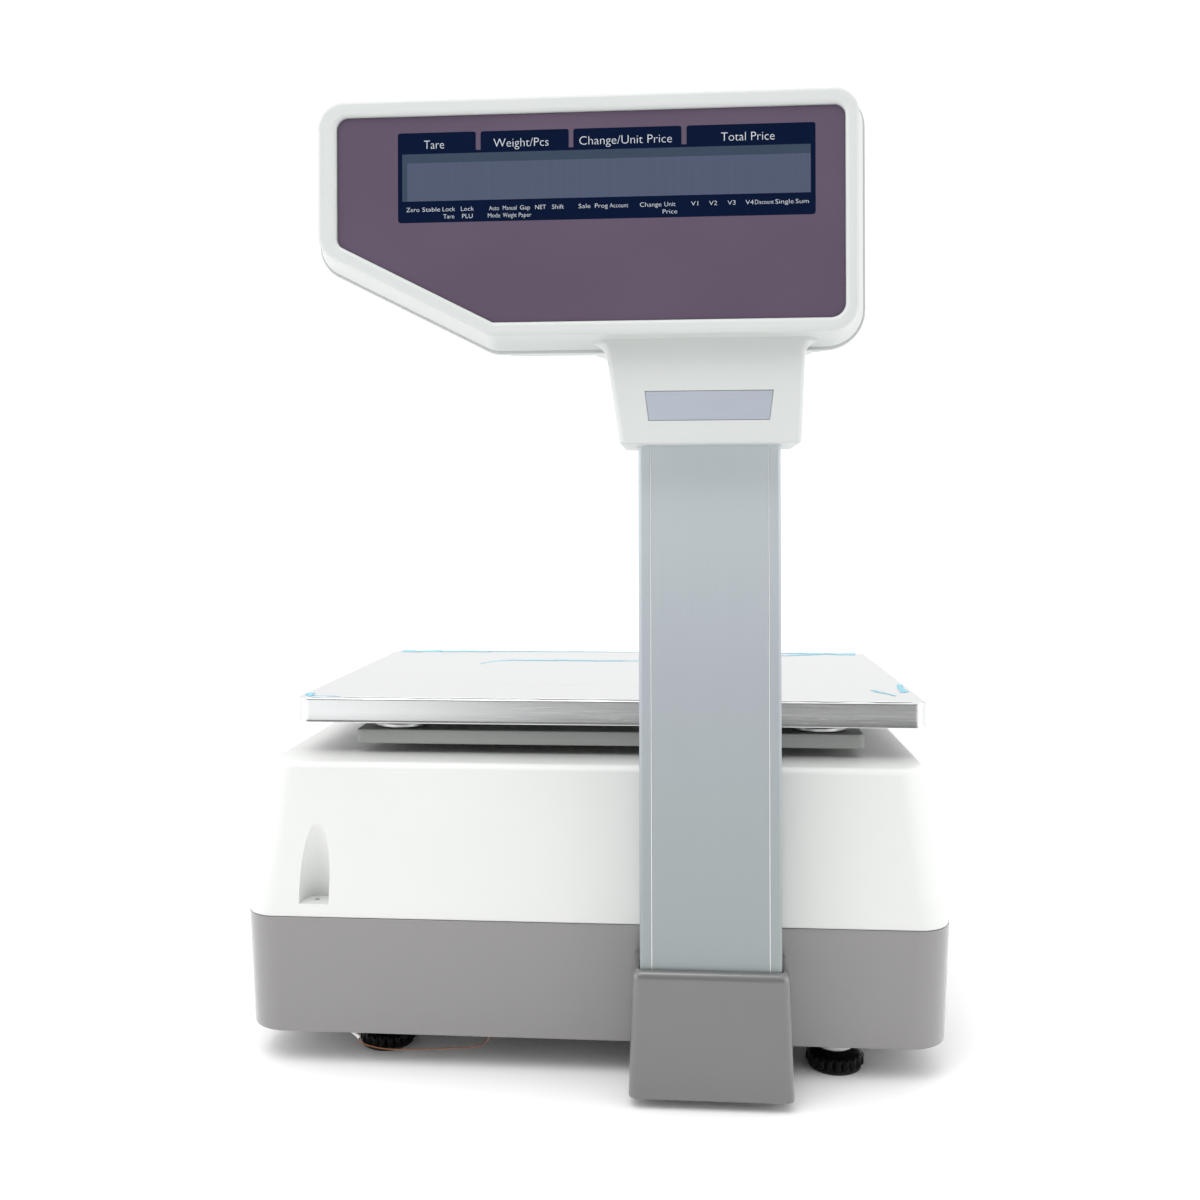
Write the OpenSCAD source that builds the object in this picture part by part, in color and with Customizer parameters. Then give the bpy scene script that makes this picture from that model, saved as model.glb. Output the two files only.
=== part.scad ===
// Label printing scale with a pole display: base with load cell, platter, label printer,
// levelling feet, and a column that carries a double-sided display head.
// Frame: X to the right as the customer sees it, -Y towards the customer, +Z up,
// origin on the supporting surface below the middle of the overall box.

/* [Base] */
// Width of the lower housing at the parting line
base_w = 386; // [380:1:390]
// Y of the customer-side wall of the lower housing
base_y0 = -160; // [-162:0.5:-158]
// Y of the operator-side wall of the lower housing
base_y1 = 215; // [213:0.5:217]
// Height of the lower housing's underside
base_z0 = 19.2; // [18:0.2:20]
// Height of the parting line between the housings
part_z = 82.3; // [81:0.1:83]
// Height of the deck on top of the upper housing
deck_z = 165.5; // [164:0.5:167]
// Wall thickness of the housings
wall = 2.8; // [2.4:0.1:3.2]

/* [Platter] */
// Width of the platter
platter_w = 355; // [330:1:356]
// Depth of the platter
platter_d = 241; // [228:0.2:242]
// Height of the platter's top face
platter_z = 198.2; // [197:0.1:200]
// Height of the folded platter rim
platter_rim = 14.5; // [12:0.5:16]
// Width of the tray below the platter
tray_w = 287; // [260:1:300]
// Depth of the tray below the platter
tray_d = 228; // [200:1:230]

/* [Column and head] */
// X of the column's centre
column_x = 64; // [62:1:66]
// Width of the column extrusion
column_w = 72.4; // [70:0.2:74]
// Depth of the column extrusion
column_d = 25; // [23:0.5:26]
// Y of the column's customer-side face
column_y0 = -186.4; // [-187:0.1:-186]
// Y of the head's customer-side face
head_y0 = -215; // [-217:0.5:-214]
// Y of the head's operator-side face
head_y1 = -136; // [-138:0.5:-134]
// How far each head shell widens from its face to the joint between them
head_flare = 4.5; // [3:0.5:5]
// Wall thickness of the head shells
head_wall = 2.5; // [2:0.1:3]

/* [Feet] */
// Distance of each foot from the middle in X
foot_x = 132.4; // [125:0.2:135]
// Y of the customer-side feet
foot_y0 = -134; // [-136:1:-130]
// Y of the operator-side feet
foot_y1 = 186; // [184:1:190]
// Outer radius of a foot knob
knob_r = 15.8; // [14:0.1:17]

/* [Label printer] */
// Y of the platen's axis
platen_y = 190; // [189:0.5:191]
// Z of the platen's axis
platen_z = 80; // [79.5:0.1:80.5]
// Outer radius of the label roll
roll_r = 38; // [30:0.5:40]
// Width of the label roll
roll_w = 52; // [30:1:52]

/* [Hidden] */

$fn = 48;
eps = 0.1;
fit = 0.05;      // radial clearance of a running fit
clear = 0.3;     // gap between neighbours that are not a fit

// Lower housing
base_draft = 2.4;                          // how far each wall leans in at the bottom
base_r = 22;                               // vertical corner radius
base_mid_y = (base_y0 + base_y1) / 2;
base_d = base_y1 - base_y0;
floor_z = base_z0 + wall;                  // top of the housing's floor

// Upper housing: widths and customer-side Y at three heights
top_r = 18;
top_low_w = base_w - 2.5;
top_mid_w = base_w - 13;
top_high_w = base_w - 22;
top_y0_low = base_y0 + 0.5;
top_y0_mid = base_y0 + 3.2;
top_y0_high = base_y0 + 7.6;
mid_z = 117;
edge = 4;                                  // round-over of the deck's edge
slope_y = 110;                             // where the deck ends and the keypad slope starts
knee_y = 209;                              // where the slope meets the short front wall
knee_z = 96;
slope_a = atan((deck_z - knee_z) / (knee_y - slope_y));

// Printer door in the operator-side corner of the upper housing
door_x = -80;
door_y = 112;
door_z = 85.7;
door_gap = 0.6;
hinge_x = -189;
hinge_z = 88.7;
barrel_r = 2.7;
pin_r = 1.5;
fixed_knuckles = [118, 151, 184];          // start of each fixed knuckle
knuckle_len = 8;

// Weighing parts
platter_x = 7;
platter_y = -11.4;
platter_r = 8.5;
sheet = 1;
tray_z = 171.1;
tray_t = 8.2;
cell_len = 150;
cell_wid = 40;
cell_z = 96;
cell_h = 34;
cell_x0 = platter_x - cell_len / 2;
cell_x1 = platter_x + cell_len / 2;
cell_hole_r = 11;
post_x = 57;
post_w = 36;
post_hole_w = 48;
plate_z = floor_z + 0.3;                   // underside of the chassis plate
plate_t = 4;
plate_top = plate_z + plate_t;
stop_gap = 1.1;                            // free travel above the overload stop

// Column, boot and head
column_y1 = column_y0 + column_d;
column_y = (column_y0 + column_y1) / 2;
column_wall = 2.2;
column_z0 = 8.5;
column_z1 = 396;
boot_z0 = 5.3;
boot_z1 = 69.2;
seam_y = -192;                             // joint between the head shells
seam_gap = 1.5;
rim_proud = 1.5;
head_x0 = -130.6;
head_x1 = 136;
head_z0 = 389.4;
head_z1 = 507.2;
neck_z0 = 336.3;
neck_y0 = -203.4;
neck_y1 = column_y1 + (column_y0 - neck_y0);
window_inset = 6.6;
window_t = 2;
window_set = 2;                            // how far the window lies behind the rim
diagonal_a = 243.1;                        // outward normal of the cut-off lower corner
// Corners of the head's face: centre X, centre Z, radius, first and last angle
head_corners = [
    [-41.9, head_z0 + 10, 10, diagonal_a, 270],
    [head_x1 - 14, head_z0 + 14, 14, 270, 360],
    [head_x1 - 12, head_z1 - 12, 12, 0, 90],
    [head_x0 + 14, head_z1 - 14, 14, 90, 180],
    [head_x0 + 12, head_z0 + 51.1, 12, 180, diagonal_a]
];
head_boss_at = [[-125.8, 480], [132.4, 480], [132.4, 410], [-30, 393.5]];
panel_x0 = -90;
panel_x1 = 115;
panel_z0 = 447;
panel_z1 = 490.7;

// Feet
sole_t = 1.7;
knob_z0 = sole_t + clear;
// The foot in front of the printer bay stands further in than the other three
inner_foot_at = [-119, -122];
collar_z0 = 7.4;
collar_z1 = 10.5;
stud_r = 3.95;
foot_at = [inner_foot_at, [foot_x, foot_y0], [foot_x, foot_y1], [-foot_x, foot_y1]];
foot_boss_z0 = 11.2;
foot_boss_z1 = 32;

// Screws that hold the housings together, as X, Y
housing_boss_at = [[-168, -128], [168, -128], [168, 190], [-70, 197]];
housing_boss_z = 70;
screw_seat_z = 62;                         // where the heads of the housing screws seat
chassis_screw_at = [[-66, -128], [76, -128], [76, 98], [-66, 98]];

// Label printer
bay_x0 = -176;                             // outer face of the outer side plate
bay_x1 = -95;                              // outer face of the inner side plate
side_t = 3;
gear_x0 = -94;
gear_t = 6;
motor_plate_x = -87;
roll_y = 122;
roll_z = 76;
spindle_r = 6;
platen_r = 7.5;
axle_r = 3;
platen_teeth = 22;
idler_teeth = 20;
pinion_teeth = 12;
gear_module = 1;
idler_a = 250;
pinion_a = 190;
idler_y = platen_y + gear_module * (platen_teeth + idler_teeth) / 2 * cos(idler_a);
idler_z = platen_z + gear_module * (platen_teeth + idler_teeth) / 2 * sin(idler_a);
pinion_y = idler_y + gear_module * (idler_teeth + pinion_teeth) / 2 * cos(pinion_a);
pinion_z = idler_z + gear_module * (idler_teeth + pinion_teeth) / 2 * sin(pinion_a);
spool_y = 170;
spool_z = 50;
spool_r = 12;
head_pivot = [162, 98];
lever_pivot = [174, 92];
roll_x0 = -156;

// Electrics on the +X side wall: Y and Z of the middle of each opening
inlet_at = [-102, 48];
switch_at = [-68, 48];
rocker_tilt = 7;
port_at = [[-14, 16, 13], [12, 14, 13], [44, 31, 12]];   // Y, width and height
port_z = 46;
board_z = 34;
board_t = 1.6;

// Routes of the fixed leads
display_route = [
    [95.3, -12, 40.5], [91, -16, 41], [88.5, -30, 41], [85, -60, 42], [78, -95, 44], [70, -122, 54], [65, -140, 68],
    [64, -152, 75.5], [64, -163, 76.5], [64, -171, 82], [64, -174, 96], [64, -174, 160],
    [64, -174, 240], [64, -174, 320], [64, -174, 396], [64, -177, 412], [64, -186, 430],
    [64, -196, 446], [64, -203.2, 451]
];
cell_route = [
    [-68.2, -11, 112], [-75, -10, 111], [-80, -2, 98], [-80, 10, 70], [-76, 26, 44],
    [-60, 38, 33], [-20, 42, 31], [40, 42, 31], [78, 34, 34], [90, 26, 39], [95.3, 24, 40.5]
];

// ---------- helpers ----------

// Rounded rectangle centred on the origin
module rounded_rect(w, d, r) {
    square([w - 2 * r, d], center = true);
    square([w, d - 2 * r], center = true);
    for (sx = [-1, 1], sy = [-1, 1])
        translate([sx * (w / 2 - r), sy * (d / 2 - r)]) circle(r);
}

// Rounded plate with its underside at z
module slab(x, y, z, w, d, h, r) {
    translate([x, y, z]) linear_extrude(h) rounded_rect(w, d, r);
}

// Box given by its lowest and highest corners
module box(a, b) {
    translate(a) cube(b - a);
}

// Cylinder along X from x0 to x1 about the line y, z
module rod_x(x0, x1, y, z, r) {
    translate([x0, y, z]) rotate([0, 90, 0]) cylinder(r = r, h = x1 - x0);
}

// Cylinder along Y from y0 to y1 about the line x, z
module rod_y(y0, y1, x, z, r) {
    translate([x, y0, z]) rotate([-90, 0, 0]) cylinder(r = r, h = y1 - y0);
}

// Plate standing across X, drawn from a YZ outline
module plate_x(x0, t) {
    translate([x0, 0, 0]) rotate([90, 0, 90]) linear_extrude(t) children();
}

// Plate standing across Y, drawn from an XZ outline
module plate_y(y0, t) {
    translate([0, y0 + t, 0]) rotate([90, 0, 0]) linear_extrude(t) children();
}

function head_outline(d) = [
    for (c = head_corners)
        for (i = [0:8])
            let (a = c[3] + (c[4] - c[3]) * i / 8)
            [c[0] + (c[2] + d) * cos(a), c[1] + (c[2] + d) * sin(a)]
];

// Straight-sided head slice between two Y values, grown by d
module head_slice(y0, y1, d) {
    plate_y(y0, y1 - y0) polygon(head_outline(d));
}

// Head volume that widens from d0 at y0 to d1 at y1
module head_taper(y0, d0, y1, d1) {
    hull() {
        head_slice(y0, y0 + eps, d0);
        head_slice(y1 - eps, y1, d1);
    }
}

// Neck volume, shrunk by t and starting at z0
module neck_volume(t, z0) {
    mid_y = (neck_y0 + neck_y1) / 2;
    depth = neck_y1 - neck_y0 - 2 * t;
    hull() {
        slab(64.1, mid_y, z0, 89.9 - 2 * t, depth, eps, 5);
        slab(63.6, mid_y, head_z0 + 2, 99 - 2 * t, depth, eps, 5);
    }
}

function unit(v) = v / norm(v);
function spline(p, i, t) =
    let (a = p[max(i - 1, 0)], b = p[i], c = p[i + 1], d = p[min(i + 2, len(p) - 1)])
    0.5 * (2 * b + (c - a) * t + (2 * a - 5 * b + 4 * c - d) * t * t
        + (3 * b - a - 3 * c + d) * t * t * t);
function smooth(p, n) = concat(
    [for (i = [0:len(p) - 2]) for (k = [0:n - 1]) spline(p, i, k / n)],
    [p[len(p) - 1]]);

// Round lead of radius r along a route; side is a direction that the route never follows
module lead(route, r, side) {
    sides = 8;
    p = smooth(route, 3);
    last = len(p) - 1;
    points = [
        for (i = [0:last])
            let (
                t = unit(p[min(i + 1, last)] - p[max(i - 1, 0)]),
                u = unit(cross(t, side)),
                w = cross(t, u)
            )
            for (k = [0:sides - 1])
                p[i] + r * (cos(360 * k / sides) * u + sin(360 * k / sides) * w)
    ];
    walls = [
        for (i = [0:last - 1])
            for (k = [0:sides - 1])
                let (n = (k + 1) % sides)
                [i * sides + k, i * sides + n, (i + 1) * sides + n, (i + 1) * sides + k]
    ];
    start_cap = [[for (k = [sides - 1:-1:0]) k]];
    end_cap = [[for (k = [0:sides - 1]) last * sides + k]];
    polyhedron(points = points, faces = concat(start_cap, walls, end_cap), convexity = 6);
}

// Spur gear blank with teeth, lying across X; tips stay just inside the pitch circle
module gear_x(x0, t, y, z, teeth, bore) {
    tip_r = gear_module * teeth / 2 - 0.2;
    root_r = tip_r - 1.9;
    tooth_w = gear_module * 1.35;
    difference() {
        union() {
            rod_x(x0, x0 + t, y, z, root_r);
            translate([x0, y, z]) rotate([90, 0, 90]) linear_extrude(t)
                for (i = [0:teeth - 1])
                    rotate(360 * i / teeth)
                        polygon([
                            [root_r - 0.6, -tooth_w / 2], [tip_r, -tooth_w / 3],
                            [tip_r, tooth_w / 3], [root_r - 0.6, tooth_w / 2]
                        ]);
        }
        rod_x(x0 - 1, x0 + t + 1, y, z, bore);
    }
}

// Cap screw pointing up (+Z) with its head's underside at z
module screw_up(x, y, z, r, len, head_r, head_h) {
    translate([x, y, z]) cylinder(r = r, h = len);
    translate([x, y, z - head_h]) cylinder(r = head_r, h = head_h);
}

// ---------- housings ----------

module base_volume(t) {
    d0 = base_draft + t;
    hull() {
        slab(0, base_mid_y, base_z0 + (t > 0 ? t : 1.5), base_w - 2 * d0, base_d - 2 * d0,
            eps, base_r - t);
        slab(0, base_mid_y, part_z - eps + (t > 0 ? 1 : 0), base_w - 2 * t, base_d - 2 * t,
            eps, base_r - t);
        if (t == 0) slab(0, base_mid_y, base_z0, base_w - 2 * d0 - 3, base_d - 2 * d0 - 3,
            eps, base_r - 1.5);
    }
}

module base_housing() {
    pad_x0 = 34;
    pad_x1 = 94;
    color([0.60, 0.59, 0.58])
    difference() {
        union() {
            difference() {
                base_volume(0);
                base_volume(wall);
            }
            // pads inside and outside the wall that carries the column
            box([pad_x0, base_y0 - 1.2, 24], [pad_x1, base_y0 + 6, 81]);
            for (p = housing_boss_at)
                translate([p[0], p[1], floor_z - 1]) cylinder(r = 6, h = housing_boss_z - floor_z + 1);
            for (p = foot_at) {
                translate([p[0], p[1], foot_boss_z0])
                    cylinder(r = 10.3, h = foot_boss_z1 - foot_boss_z0);
            }
            for (p = [[100, -140], [155, -140], [100, -56], [155, -56],
                      [100, -24], [174, -24], [100, 88], [174, 88]])
                translate([p[0], p[1], floor_z - 1]) cylinder(r = 3.5, h = board_z - floor_z + 1);
            for (p = [[-168, 84], [-100, 84], [-168, 200], [-100, 200]])
                translate([p[0], p[1], floor_z - 1]) cylinder(r = 5, h = 12);
        }
        for (p = housing_boss_at) {
            translate([p[0], p[1], base_z0 - 1]) cylinder(r = 2.2, h = 60);
            translate([p[0], p[1], base_z0 - 1]) cylinder(r = 4.3, h = screw_seat_z - base_z0 + 1);
        }
        for (p = foot_at)
            translate([p[0], p[1], 10]) cylinder(r = stud_r + fit, h = 30);
        for (p = chassis_screw_at)
            translate([p[0], p[1], base_z0 - 1]) cylinder(r = 2.05, h = 10);
        for (x = [46, 82], z = [32, 58])
            rod_y(base_y0 - 2, base_y0 + 8, x, z, 3.1);
        rod_y(base_y0 - 2, base_y0 + 8, column_x, 76, 4);
        // openings for the inlet, the switch and the ports
        box([186, inlet_at[0] - 14, inlet_at[1] - 10.5], [195, inlet_at[0] + 14, inlet_at[1] + 10.5]);
        box([186, switch_at[0] - 7, switch_at[1] - 10], [195, switch_at[0] + 7, switch_at[1] + 10]);
        for (p = port_at)
            box([186, p[0] - p[1] / 2 - 0.4, port_z - p[2] / 2 - 0.4],
                [195, p[0] + p[1] / 2 + 0.4, port_z + p[2] / 2 + 0.4]);
        // ventilation slots in the floor
        for (i = [0:5])
            box([105 + i * 8, -125, base_z0 - 1], [108 + i * 8, -75, floor_z + 1]);
    }
}

module top_volume(t) {
    y_end = knee_y + 3 - t;
    lift = t / cos(slope_a) - t;           // keeps the sloping wall as thick as the others
    top = deck_z - t;
    hull() {
        rows = [
            [part_z - (t > 0 ? 1 : 0), top_low_w, top_y0_low + t, base_y1 - 1 - t],
            [knee_z - t - lift, top_low_w - 3.5, top_y0_low + 0.8 + t, y_end - 2],
            [mid_z, top_mid_w, top_y0_mid + t, 140],
            [top - edge, top_high_w, top_y0_high + t, slope_y + 3 - t / 2],
            [top - 1.2, top_high_w - 2.4, top_y0_high + 1.2 + t, slope_y + 1 - t / 2],
            [top - eps, top_high_w - 7, top_y0_high + 3.6 + t, slope_y - 1 - t / 2]
        ];
        for (row = rows) {
            slab(0, (row[2] + row[3]) / 2, row[0], row[1] - 2 * t, row[3] - row[2], eps, top_r - t);
        }
    }
}

module top_shell() {
    difference() {
        top_volume(0);
        top_volume(wall);
    }
}

// Slope frame: x unchanged, y runs down the slope, z along its normal
module on_slope() {
    translate([0, slope_y, deck_z]) rotate([-slope_a, 0, 0]) children();
}

// Screw access scoop in the customer-side wall, or its inner pocket when grown
module scoop(grow) {
    intersection() {
        if (grow > 0) top_volume(0);
        else translate([-200, -200, 0]) cube(400);
        hull() {
            translate([-150.7, base_y0 - 6, 89.5 - grow]) cylinder(r = 14.5 + grow, h = 1);
            translate([-149.8, base_y0 - 6, 134]) sphere(r = 8 + grow);
        }
    }
}

module top_housing() {
    color([0.94, 0.94, 0.93])
    difference() {
        union() {
            top_shell();
            intersection() {
                top_volume(0);
                for (p = housing_boss_at)
                    translate([p[0], p[1], housing_boss_z + clear]) cylinder(r = 5, h = 90);
            }
            on_slope()
                for (x = [-58, 156], y = [22, 94])
                    translate([x, y, -7]) cylinder(r = 3, h = 5);
            scoop(wall - 0.4);
            for (y = fixed_knuckles) {
                rod_y(y, y + knuckle_len, hinge_x, hinge_z, barrel_r);
                box([hinge_x - 2, y, part_z + 1], [hinge_x + 2.4, y + knuckle_len, hinge_z]);
            }
        }
        for (p = housing_boss_at)
            translate([p[0], p[1], 60]) cylinder(r = 2.05, h = 28);
        // corner taken by the printer door
        difference() {
            box([-200, door_y, door_z], [door_x, 230, 200]);
            for (y = fixed_knuckles)
                rod_y(y, y + knuckle_len, hinge_x, hinge_z, barrel_r);
        }
        rod_y(fixed_knuckles[0] - 1, fixed_knuckles[2] + knuckle_len + 1, hinge_x, hinge_z,
            pin_r + fit);
        // opening for the tray post
        slab(post_x, platter_y, deck_z - 10, post_hole_w, post_hole_w, 20, 6);
        // spirit level
        translate([166, 62, deck_z - 12]) cylinder(r = 11, h = 20);
        // pocket for the keypad panel
        on_slope() box([-74, 7, -1.1], [180, 114, 5]);
        on_slope() box([30, 30, -10], [60, 50, 5]);
        scoop(0);
        translate([-152, -154.6, 80]) cylinder(r = 1.6, h = 20);
    }
}

module housing_screws() {
    color([0.35, 0.35, 0.36]) {
        for (p = housing_boss_at)
            screw_up(p[0], p[1], screw_seat_z, 2, 20, 3.8, 3);
        for (p = chassis_screw_at)
            screw_up(p[0], p[1], base_z0, 2, 7.3, 3.8, 2.4);
    }
}

module keypad_panel() {
    key_cols = 12;
    key_rows = 6;
    pitch_x = 19.6;
    pitch_y = 16;
    color([0.80, 0.84, 0.88])
    on_slope() {
        box([-73.5, 7.5, -1.1], [179.5, 113.5, -0.1]);
        for (i = [0:key_cols - 1], j = [0:key_rows - 1])
            box([-65 + i * pitch_x, 14 + j * pitch_y, -0.4], [-49 + i * pitch_x, 26 + j * pitch_y, 0.3]);
    }
}

module keypad_board() {
    color([0.10, 0.35, 0.20])
    on_slope() {
        box([-63, 14, -8.6], [161, 100, -7]);
        box([34, 34, -7], [56, 44, -4.5]);
    }
}

// ---------- weighing parts ----------

module chassis_plate() {
    color([0.66, 0.67, 0.68])
    difference() {
        slab(5, -15, plate_z, 168, 250, plate_t, 10);
        for (p = chassis_screw_at)
            translate([p[0], p[1], plate_z - 1]) cylinder(r = 2.05, h = 10);
        slab(5, -95, plate_z - 1, 90, 50, 10, 8);
        slab(5, 75, plate_z - 1, 90, 40, 10, 8);
    }
}

module load_cell_pedestal() {
    color([0.75, 0.76, 0.77])
    difference() {
        union() {
            box([cell_x0, platter_y - 22, plate_top], [cell_x1, platter_y + 22, plate_top + 8]);
            box([cell_x0, platter_y - 20, plate_top], [cell_x0 + 50, platter_y + 20, cell_z]);
            box([cell_x1 - 46, platter_y - 20, plate_top], [cell_x1, platter_y + 20, cell_z - 12]);
        }
        for (x = [-55, -31])
            translate([x, platter_y, cell_z - 24]) cylinder(r = 3 + fit, h = 40);
        translate([post_x, platter_y, plate_top + 20]) cylinder(r = 4 + fit, h = 60);
        rod_y(platter_y - 30, platter_y + 30, cell_x0 + 25, 52, 14);
    }
}

module load_cell() {
    axis_z = cell_z + cell_h / 2;
    color([0.80, 0.81, 0.82])
    difference() {
        box([cell_x0, platter_y - cell_wid / 2, cell_z],
            [cell_x1, platter_y + cell_wid / 2, cell_z + cell_h]);
        for (dx = [-16, 16])
            rod_y(platter_y - 30, platter_y + 30, platter_x + dx, axis_z, cell_hole_r);
        box([platter_x - 16, platter_y - 30, axis_z - 4],
            [platter_x + 16, platter_y + 30, axis_z + 4]);
        for (x = [-55, -31, 45, 69])
            translate([x, platter_y, cell_z - 1]) cylinder(r = 3 + 2 * fit, h = cell_h + 2);
    }
}

module load_cell_bolts() {
    color([0.30, 0.30, 0.32])
    for (x = [-55, -31])
        mirror([0, 0, 1]) screw_up(x, platter_y, -(cell_z + cell_h), 3, 55, 5, 5);
}

module overload_stop() {
    color([0.30, 0.30, 0.32]) {
        translate([post_x, platter_y, cell_z - 30]) cylinder(r = 4, h = 30 - stop_gap);
        translate([post_x, platter_y, cell_z - 12]) cylinder(r = 7, h = 4, $fn = 6);
    }
}

module tray_post() {
    color([0.72, 0.73, 0.74])
    union() {
        slab(post_x, platter_y, cell_z + cell_h, post_w, post_w, tray_z - cell_z - cell_h, 4);
        for (x = [45, 69])
            translate([x, platter_y, cell_z + 8]) cylinder(r = 3, h = cell_h);
    }
}

module pad_places() {
    for (sx = [-1, 1], sy = [-1, 1])
        translate([platter_x + sx * 120, platter_y + sy * 97, 0]) children();
}

module platter_support() {
    color([0.57, 0.58, 0.56])
    difference() {
        slab(platter_x, platter_y, tray_z, tray_w, tray_d, tray_t, 8);
        // pockets below leave a rim, cross ribs and a seat on the post
        for (sx = [-1, 1], sy = [-1, 1])
            slab(platter_x + sx * 92, platter_y + sy * 57, tray_z - 1, 84, 96, tray_t - 2, 6);
        slab(platter_x - 20, platter_y + 66, tray_z - 1, 80, 78, tray_t - 2, 6);
        slab(platter_x - 20, platter_y - 66, tray_z - 1, 80, 78, tray_t - 2, 6);
    }
}

module platter_pads() {
    color([0.16, 0.17, 0.17])
    pad_places() translate([0, 0, tray_z + tray_t])
        cylinder(r = 16, h = platter_z - sheet - clear - tray_z - tray_t);
}

module platter() {
    color([0.85, 0.86, 0.87])
    difference() {
        slab(platter_x, platter_y, platter_z - platter_rim, platter_w, platter_d, platter_rim,
            platter_r);
        slab(platter_x, platter_y, platter_z - platter_rim - 1, platter_w - 2 * sheet,
            platter_d - 2 * sheet, platter_rim + 1 - sheet, platter_r - sheet);
    }
}

module level_cup() {
    color([0.12, 0.12, 0.13])
    difference() {
        union() {
            translate([166, 62, deck_z]) cylinder(r = 13, h = 1.5);
            translate([166, 62, deck_z - 10]) cylinder(r = 10.7, h = 10.5);
        }
        translate([166, 62, deck_z - 8]) cylinder(r = 9.1, h = 12);
    }
}

module level_vial() {
    color([0.70, 0.85, 0.30]) translate([166, 62, deck_z - 7.9]) cylinder(r = 9, h = 9);
}

// ---------- electrics ----------

module main_board() {
    color([0.10, 0.35, 0.20]) {
        box([95, -28, board_z], [179, 93, board_z + board_t]);
        box([120, 10, board_z + board_t - eps], [148, 38, board_z + board_t + 2.4]);
        box([95.5, 16, board_z + board_t - eps], [103, 32, board_z + board_t + 9]);
        box([95.5, -20, board_z + board_t - eps], [103, -4, board_z + board_t + 9]);
        for (y = [52, 64, 76])
            translate([112, y, board_z + board_t - eps]) cylinder(r = 4, h = 11);
    }
}

module power_board() {
    color([0.75, 0.62, 0.35]) {
        box([95, -146, board_z], [161, -50, board_z + board_t]);
        box([104, -100, board_z + board_t - eps], [136, -68, board_z + board_t + 26]);
        box([142, -136, board_z + board_t - eps], [145, -80, board_z + board_t + 24]);
        for (y = [-134, -114])
            translate([112, y, board_z + board_t - eps]) cylinder(r = 8, h = 28);
    }
}

module power_inlet() {
    y = inlet_at[0];
    z = inlet_at[1];
    wall_x = base_w / 2;
    color([0.08, 0.08, 0.09])
    difference() {
        union() {
            box([166, y - 13.7, z - 10.2], [wall_x - 0.6, y + 13.7, z + 10.2]);
            box([wall_x - 0.7, y - 16, z - 12.5], [wall_x, y + 16, z + 12.5]);
        }
        box([172, y - 12, z - 8.2], [wall_x + 1, y + 12, z + 8.2]);
    }
    color([0.75, 0.75, 0.72])
    for (p = [[-7, -2], [0, 2], [7, -2]])
        box([171, y + p[0] - 1, z + p[1] - 2.2], [188, y + p[0] + 1, z + p[1] + 2.2]);
}

module power_switch_body() {
    y = switch_at[0];
    z = switch_at[1];
    wall_x = base_w / 2;
    color([0.08, 0.08, 0.09])
    difference() {
        union() {
            box([174, y - 6.7, z - 9.7], [wall_x - 0.6, y + 6.7, z + 9.7]);
            box([wall_x - 0.7, y - 8, z - 11.5], [wall_x, y + 8, z + 11.5]);
        }
        box([183, y - 5, z - 8.2], [wall_x + 1, y + 5, z + 8.2]);
        rod_y(y - 6, y + 6, 188.2, z, 1 + fit);
    }
}

module power_rocker() {
    y = switch_at[0];
    z = switch_at[1];
    color([0.55, 0.10, 0.08])
    translate([188.2, y, z]) rotate([0, -rocker_tilt, 0]) {
        plate_y(-4.6, 9.2) polygon([[-3, -4], [3.4, -6.6], [2.2, 0], [3.4, 6.6], [-3, 4]]);
        rod_y(-5.6, 5.6, 0, 0, 1);
    }
}

module data_ports() {
    color([0.70, 0.71, 0.72])
    for (p = port_at)
        difference() {
            box([180, p[0] - p[1] / 2, port_z - p[2] / 2], [base_w / 2 - 0.7, p[0] + p[1] / 2,
                port_z + p[2] / 2]);
            box([183, p[0] - p[1] / 2 + 1.4, port_z - p[2] / 2 + 1.4],
                [base_w / 2 + 1, p[0] + p[1] / 2 - 1.4, port_z + p[2] / 2 - 1.4]);
        }
}

// ---------- label printer ----------

module printer_door() {
    color([0.94, 0.94, 0.93])
    difference() {
        union() {
            intersection() {
                top_shell();
                box([-200, door_y + door_gap, hinge_z - 2], [door_x - door_gap, 230, 200]);
            }
            intersection() {
                top_volume(0);
                box([-176, door_y + 1, 120], [door_x - 1, door_y + 3, 170]);
            }
            for (i = [0, 1])
                rod_y(fixed_knuckles[i] + knuckle_len + 0.4, fixed_knuckles[i + 1] - 0.4,
                    hinge_x, hinge_z, barrel_r);
        }
        // lower edge of the side wall stops above the hinge line, apart from the knuckles
        difference() {
            box([-200, door_y - 1, 80], [-186, 230, hinge_z + 0.5]);
            for (i = [0, 1])
                rod_y(fixed_knuckles[i] + knuckle_len + 0.4, fixed_knuckles[i + 1] - 0.4,
                    hinge_x, hinge_z, barrel_r);
        }
        for (y = fixed_knuckles)
            rod_y(y - 0.4, y + knuckle_len + 0.4, hinge_x, hinge_z, barrel_r + 0.4);
        rod_y(fixed_knuckles[0] - 1, fixed_knuckles[2] + knuckle_len + 1, hinge_x, hinge_z,
            pin_r + fit);
        // label outlet in the front wall, and a finger notch at the door's free edge
        box([-170, 200, 80], [-102, 230, 91.5]);
        on_slope() translate([door_x, 60, 9.8]) sphere(r = 12);
    }
}

module door_pin() {
    color([0.75, 0.76, 0.78])
    rod_y(fixed_knuckles[0] + 0.2, fixed_knuckles[2] + knuckle_len - 0.2, hinge_x, hinge_z, pin_r);
}

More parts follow.
